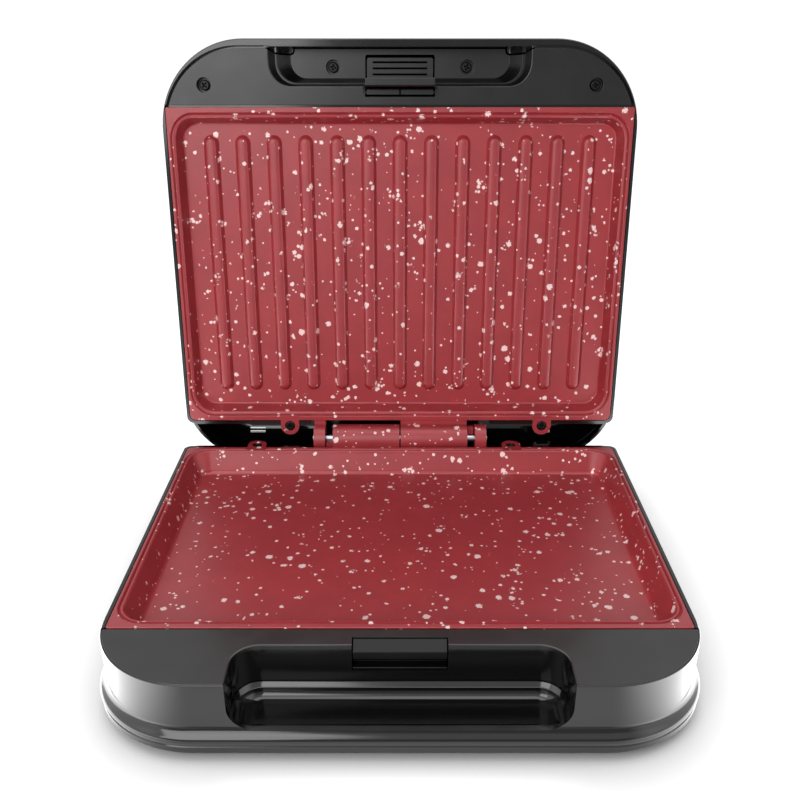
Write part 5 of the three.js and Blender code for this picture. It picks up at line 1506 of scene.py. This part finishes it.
def button_grooves():
    """Cutters for the grooves across the button."""
    face = SPLIT + POCKET_DEPTH - BUTTON_PROUD
    half, reach = GROOVE_HALF
    for i in (-1, 0, 1):
        middle = GROOVE_MIDDLE + i * GROOVE_PITCH
        mouth = [(middle - reach, face - SEAM), (middle + reach, face - SEAM)]
        yield beam(mouth + [(middle, face + GROOVE_CUT)], -half, half)


def lens_solid(x):
    """A domed lens on a stem."""
    stem, radius, foot, edge, dome = LENS.values()
    top = LID_TOP + SEAM
    profile = [(0, LID_TOP - foot), (stem, LID_TOP - foot), (stem, top), (radius, top)]
    for angle in arc(8):
        height = top + edge + dome * math.sin(angle)
        profile.append((radius * math.cos(angle * 0.98), height))
    return turned(profile + [(0, top + edge + dome)], x, LAMP_FRONT)


# Sizes and colours that a user would change


class GrillPlates(bpy.types.PropertyGroup):
    """Sizes and colours of the plates."""

    rib_count: bpy.props.IntProperty(
        name="Ribs", description="Ribs on the upper plate", default=13, min=1, max=15
    )
    rib_pitch: bpy.props.FloatProperty(
        name="Rib pitch", description="Middle to middle, in millimetres", default=18.9, min=10.0
    )
    rib_height: bpy.props.FloatProperty(
        name="Rib height",
        description="Height above the tray, in millimetres",
        default=3.8,
        min=1.0,
    )
    coating_colour: bpy.props.FloatVectorProperty(
        name="Coating",
        description="Colour of the non-stick coating",
        subtype="COLOR",
        size=4,
        default=srgb(163, 52, 58),
    )
    fleck_colour: bpy.props.FloatVectorProperty(
        name="Flecks",
        description="Colour of the flecks in the coating",
        subtype="COLOR",
        size=4,
        default=srgb(255, 226, 223),
    )


class GrillBody(bpy.types.PropertyGroup):
    """Colours of the mouldings and the size of their rounded edges."""

    housing_colour: bpy.props.FloatVectorProperty(
        name="Housings",
        description="Colour of the glossy housings",
        subtype="COLOR",
        size=4,
        default=srgb(6, 6, 7),
    )
    frame_colour: bpy.props.FloatVectorProperty(
        name="Deck and frame",
        description="Colour of the satin deck, frame and latch",
        subtype="COLOR",
        size=4,
        default=srgb(9, 9, 10),
    )
    edge_round: bpy.props.FloatProperty(
        name="Edge rounding", description="On moulded edges, in millimetres", default=0.3, min=0.05
    )


class GrillStage(bpy.types.PropertyGroup):
    """Strength of the sky, the floor's glow and the lamps."""

    sky: bpy.props.FloatProperty(
        name="Sky", description="Even light on dull surfaces", default=0.15, min=0.0
    )
    back_sky: bpy.props.FloatProperty(
        name="Sky behind", description="What gloss mirrors from behind", default=0.85, min=0.0
    )
    high_sky: bpy.props.FloatProperty(
        name="High sky", description="What gloss mirrors from high behind", default=3.4, min=0.0
    )
    front_sky: bpy.props.FloatProperty(
        name="Sky in front", description="What gloss mirrors from the front", default=0.6, min=0.0
    )
    box: bpy.props.FloatProperty(
        name="Soft box", description="Lamp at the front left", default=6.0, unit="POWER"
    )
    top_glow: bpy.props.FloatProperty(
        name="High soft box",
        description="What gloss mirrors from high in front",
        default=1.2,
        min=0.0,
    )
    floor_glow: bpy.props.FloatProperty(
        name="Floor glow", description="What gloss mirrors from the floor", default=1.35, min=0.0
    )
    side_glow: bpy.props.FloatProperty(
        name="Side glow", description="The same at both sides", default=6.0, min=0.0
    )
    side_sky: bpy.props.FloatProperty(
        name="Sky at the sides",
        description="What gloss mirrors from the sides",
        default=1.5,
        min=0.0,
    )
    top: bpy.props.FloatProperty(
        name="Top lamp", description="Lamp above and behind", default=4.5, unit="POWER"
    )
    key: bpy.props.FloatProperty(
        name="Key lamp", description="Lamp at the front", default=11.0, unit="POWER"
    )


# Operators


def moulding(solid, node, body, slot, material, width, edge=MOULDED_EDGE):
    solid = bevelled(tidied(solid), width, *edge)
    return finish(solid, node + "_moulded", body, [node], slot, material)


class GRILL_OT_plates(bpy.types.Operator):
    """Builds both coated plates, with their ribs, knuckles and lugs"""

    bl_idname = "grill.plates"
    bl_label = "Plates"

    def execute(self, context):
        settings = context.scene.grill_plates
        material = coating(settings)
        lower = plate_solid("base")
        finish(lower, "lower_plate_coated", "base", ["lower_plate"], "plate_coating", material)
        upper = plate_solid("lid")
        rib = rib_template()
        ribs = grown(
            tree_named("row_of_ribs", line_tree),
            mesh_object("ribs", [(0, 0, 0)], []),
            Piece=rib,
            Count=settings.rib_count,
            Pitch=settings.rib_pitch,
            Material=material,
        )
        bpy.data.objects.remove(rib, do_unlink=True)
        middle = -(RIB_FRONT + RIB_REAR) / 2
        ribs.data.transform(Matrix.Translation((0, middle, SPLIT + TRAY_DEPTH["lid"])))
        upper = join(upper, ribs)
        finish(upper, "upper_plate_coated", "lid", ["upper_plate"], "plate_coating", material)
        return {"FINISHED"}


class GRILL_OT_base(bpy.types.Operator):
    """Builds the base housing, its deck, the catch and the bottom cover"""

    bl_idname = "grill.base"
    bl_label = "Base"

    def execute(self, context):
        settings = context.scene.grill_body
        gloss, satin = housing_plastic(settings), frame_plastic(settings)
        dull, plain = catch_plastic(settings), dark_plastic()
        width = settings.edge_round
        parts = (
            (base_housing_solid, "base_housing", "housing_plastic", gloss, width),
            (base_deck_solid, "base_deck", "frame_plastic", satin, width),
            (catch_solid, "latch_catch", "frame_plastic", dull, width, CATCH_EDGE),
            (cover_solid, "bottom_cover", "dark_plastic", plain, COVER_EDGE_ROUND),
        )
        for solid, node, *rest in parts:
            moulding(solid(), node, "base", *rest)
        return {"FINISHED"}


class GRILL_OT_lid(bpy.types.Operator):
    """Builds the lid shell, its frame and the lenses of the lamps"""

    bl_idname = "grill.lid"
    bl_label = "Lid"

    def execute(self, context):
        settings = context.scene.grill_body
        width = settings.edge_round
        gloss, satin = housing_plastic(settings), frame_plastic(settings)
        moulding(lid_shell_solid(), "lid_shell", "lid", "housing_plastic", gloss, width)
        moulding(lid_frame_solid(), "lid_frame", "lid", "frame_plastic", satin, width)
        for name, x, slot, colour in (
            ("power_lens", -LAMP_X, "red_lens", srgb(190, 30, 26)),
            ("ready_lens", LAMP_X, "green_lens", srgb(40, 140, 60)),
        ):
            finish(lens_solid(x), name + "_turned", "lid", [name], slot, lens(slot, colour))
        return {"FINISHED"}


class GRILL_OT_latch(bpy.types.Operator):
    """Builds the latch lever"""

    bl_idname = "grill.latch"
    bl_label = "Latch lever"

    def execute(self, context):
        settings = context.scene.grill_body
        lever = bevelled(tidied(lever_solid()), settings.edge_round, *LEVER_EDGE)
        lever = cut(lever, *button_grooves())
        satin = frame_plastic(settings)
        name = "latch_lever_moulded"
        finish(lever, name, "latch", ["latch_lever"], "frame_plastic", satin)
        return {"FINISHED"}


class GRILL_OT_fasteners(bpy.types.Operator):
    """Builds the screws and the feet"""

    bl_idname = "grill.fasteners"
    bl_label = "Screws and feet"

    def execute(self, context):
        dark = metal("black_steel", srgb(36, 36, 38), 0.35, 0.8)
        under = SPLIT + LUG_SINK - SEAM
        wells = [(*spot, boss_end(mouth) - WALL - SEAM) for *spot, mouth in frame_screw_places()]
        seats = at_height(COVER_SCREWS, -COVER_TOP - COVER_SKIN / 2 - SEAM)
        lower = [(x, LUG_CENTRE, -under) for x in lugs_of("base")]
        upper = [(x, LUG_CENTRE, under) for x in lugs_of("lid")]
        for node, places, sign, body, slot, material, seed in (
            ("lower_plate_screw", lower, 1, "base", "black_steel", dark, 3),
            ("upper_plate_screw", upper, -1, "lid", "black_steel", dark, 5),
            ("frame_screw", wells, -1, "lid", "black_steel", dark, 7),
            ("cover_screw", seats, -1, "base", "zinc_steel", zinc_steel(), 9),
        ):
            fasteners(node + "s", node, places, sign, body, slot, material, seed)
        rubber = moulded("foot_rubber", srgb(26, 26, 26))
        places = at_height(FOOT_PLACES, -COVER_TOP - COVER_SKIN)
        foot = foot_template()
        fasteners("rubber_feet", "foot", places, 1, "base", "foot_rubber", rubber, 11, foot)
        return {"FINISHED"}


class GRILL_OT_inner_finishes(bpy.types.Operator):
    """Gives the pieces inside the housings, and the pins, their finishes"""

    bl_idname = "grill.inner_finishes"
    bl_label = "Finishes of the inner pieces"

    def execute(self, context):
        sheet = metal("shield_sheet", srgb(200, 202, 204), 0.35, 0.95, (1.0, 12.0, 1.0))
        finishes = {
            zinc_steel(): ("hinge_pin", "latch_pin", "latch_spring"),
            metal("sheath_steel", srgb(140, 132, 120), 0.5, 0.9): (
                "lower_heating_element",
                "upper_heating_element",
            ),
            sheet: ("lower_heat_shield", "upper_heat_shield"),
            moulded("ceramic", srgb(226, 218, 202), 0.04): (
                "thermostat",
                "thermal_fuse",
                "terminal_block",
            ),
            dark_plastic(): ("cord_gland",),
            lens("lamp_glass", srgb(216, 196, 160)): ("power_lamp", "ready_lamp"),
        }
        for material, nodes in finishes.items():
            for node in nodes:
                mesh = frame["nodes"][node].data
                mesh.materials.clear()
                mesh.materials.append(material)
        return {"FINISHED"}


class GRILL_OT_stage(bpy.types.Operator):
    """Sets up the floor, the sky, the lamps and the camera"""

    bl_idname = "grill.stage"
    bl_label = "Stage"

    def execute(self, context):
        settings = context.scene.grill_stage
        pale_floor(settings)
        studio_sky(settings)
        for name, (place_at, width, height, mirrored) in LAMPS.items():
            lamp(name, place_at, width, height, getattr(settings, name), mirrored)
        camera()
        return {"FINISHED"}


def plain_rays(tree):
    """The Light Path node and whether a ray comes from the camera, straight or through glass."""
    rays = tree.nodes.new("ShaderNodeLightPath").outputs
    seen = math_node(tree, "ADD", rays["Is Camera Ray"], rays["Is Transmission Ray"], True)
    return rays["Is Glossy Ray"], seen


def pale_floor(settings):
    """A pale floor that glows to the camera, with a soft shadow painted into the glow by ambient
    occlusion beside its real shading, and less in gloss.
    """
    half = FLOOR_HALF
    corners = [(-half, -half, 0), (half, -half, 0), (half, half, 0), (-half, half, 0)]
    floor = mesh_object("floor", corners, [(0, 1, 2, 3)])
    grey = (0.5, 0.5, 0.5, 1.0)
    material, tree, shader, vector = new_material("pale_floor", grey, 0.7)
    output = next(node for node in tree.nodes if node.type == "OUTPUT_MATERIAL")
    shader.inputs["Specular IOR Level"].default_value = 0.0
    # Painted shadow: ambient occlusion dims the floor's glow near the grill
    shade = new_node(tree, "ShaderNodeAmbientOcclusion", Distance=SHADOW_REACH)
    shade.samples = SHADOW_SAMPLES
    open_share = ramp(tree, shade.outputs["AO"], *SHADOW_RAMP, kind="LINEAR")
    open_share = math_node(tree, "POWER", open_share, SHADOW_CURVE)
    glossy_ray, seen = plain_rays(tree)
    axes = split_axes(tree, vector)
    aside = math_node(tree, "ABSOLUTE", axes["X"])
    mirrored = ramp(tree, aside, *FLOOR_SIDES, settings.floor_glow, settings.side_glow)
    # Painted shade: what gloss mirrors from the floor is dimmed by ambient occlusion near the
    # grill, and far in front of it
    for value, limits in ((shade.outputs["AO"], FLOOR_SHADE), (axes["Y"], FLOOR_FRONT)):
        mirrored = math_node(tree, "MULTIPLY", mirrored, ramp(tree, value, *limits))
    glossy = math_node(tree, "MULTIPLY", glossy_ray, mirrored)
    shown = math_node(tree, "MULTIPLY", seen, open_share)
    strength = math_node(tree, "ADD", shown, glossy)
    glow = new_node(tree, "ShaderNodeEmission", Strength=strength)
    add = tree.nodes.new("ShaderNodeAddShader")
    feed(tree, add.inputs[0], shader.outputs[0])
    feed(tree, add.inputs[1], glow.outputs[0])
    feed(tree, output.inputs["Surface"], add.outputs[0])
    floor.data.materials.append(material)


def studio_sky(settings):
    """A sky that is white to the camera, with bands that only gloss mirrors."""
    world = bpy.data.worlds.new("studio_sky")
    bpy.context.scene.world = world
    world.use_nodes = True
    tree = world.node_tree
    background = next(node for node in tree.nodes if node.type == "BACKGROUND")
    glossy_ray, seen = plain_rays(tree)
    axes = split_axes(tree, tree.nodes.new("ShaderNodeTexCoord").outputs["Generated"])
    up = axes["Z"]
    rear = ramp(tree, up, *SKY_REAR, settings.back_sky, settings.high_sky)
    ahead_low = ramp(tree, up, *SKY_LOW, settings.front_sky, settings.top_glow)
    ahead_all = ramp(tree, up, *SKY_HIGH, ahead_low, settings.high_sky)
    either = ramp(tree, axes["Y"], *SKY_TURN, ahead_all, rear)
    aside = math_node(tree, "ABSOLUTE", axes["X"])
    sides = ramp(tree, aside, *SKY_SIDES, 0.0, settings.side_sky)
    shown = math_node(tree, "ADD", either, sides)
    glossy = math_node(tree, "MULTIPLY", glossy_ray, shown)
    dull = math_node(tree, "SUBTRACT", 1.0, glossy_ray)
    lit = math_node(tree, "ADD", glossy, math_node(tree, "MULTIPLY", dull, settings.sky))
    feed(tree, background.inputs["Strength"], math_node(tree, "MAXIMUM", lit, seen))
    background.inputs["Color"].default_value = (1.0, 1.0, 1.0, 1.0)


def lamp(name, place_at, width, height, power, mirrored):
    """A soft rectangular lamp that faces the grill, and shows in gloss only when mirrored."""
    data = bpy.data.lights.new(name, "AREA")
    data.shape = "RECTANGLE"
    data.size = width
    data.size_y = height
    data.energy = power
    obj = bpy.data.objects.new(name, data)
    bpy.context.scene.collection.objects.link(obj)
    obj.location = HINGE + Vector(place_at)
    obj.rotation_euler = (LAMP_TARGET - obj.location).to_track_quat("-Z", "Y").to_euler()
    obj.visible_glossy = mirrored


def camera():
    """The camera that gives the photograph's framing, found from the plates' corners."""
    data = bpy.data.cameras.new("photo_camera")
    data.sensor_width = SENSOR
    data.lens = FOCAL_LENGTH / PHOTO_SIZE * data.sensor_width
    data.shift_y = CENTRE_SHIFT / PHOTO_SIZE
    obj = bpy.data.objects.new("photo_camera", data)
    bpy.context.scene.collection.objects.link(obj)
    obj.location = CAMERA_PLACE
    obj.rotation_euler = (math.radians(90 - CAMERA_TILT), 0.0, 0.0)
    bpy.context.scene.camera = obj


class GRILL_PT_panel(bpy.types.Panel):
    """Lists the pieces of the grill"""

    bl_label = "Contact Grill"
    bl_idname = "GRILL_PT_panel"
    bl_space_type = "VIEW_3D"
    bl_region_type = "UI"
    bl_category = "Grill"

    def draw(self, context):
        for group in ("grill_plates", "grill_body", "grill_stage"):
            settings = getattr(context.scene, group)
            for name in settings.__annotations__:
                self.layout.prop(settings, name)
        for operator in OPERATORS:
            self.layout.operator(operator.bl_idname)


GROUPS = {"grill_plates": GrillPlates, "grill_body": GrillBody, "grill_stage": GrillStage}
OPERATORS = (
    GRILL_OT_plates,
    GRILL_OT_base,
    GRILL_OT_lid,
    GRILL_OT_latch,
    GRILL_OT_fasteners,
    GRILL_OT_inner_finishes,
    GRILL_OT_stage,
)


def register():
    for name, group in GROUPS.items():
        bpy.utils.register_class(group)
        setattr(bpy.types.Scene, name, bpy.props.PointerProperty(type=group))
    for operator in OPERATORS:
        bpy.utils.register_class(operator)
    bpy.utils.register_class(GRILL_PT_panel)


def unregister():
    bpy.utils.unregister_class(GRILL_PT_panel)
    for operator in reversed(OPERATORS):
        bpy.utils.unregister_class(operator)
    for name, group in GROUPS.items():
        delattr(bpy.types.Scene, name)
        bpy.utils.unregister_class(group)


def main():
    register()
    bpy.ops.grill.stage()
    bpy.ops.grill.plates()
    bpy.ops.grill.base()
    bpy.ops.grill.lid()
    bpy.ops.grill.latch()
    bpy.ops.grill.fasteners()
    bpy.ops.grill.inner_finishes()
    bpy.context.scene.view_settings.view_transform = "Standard"


if __name__ == "__main__":
    main()
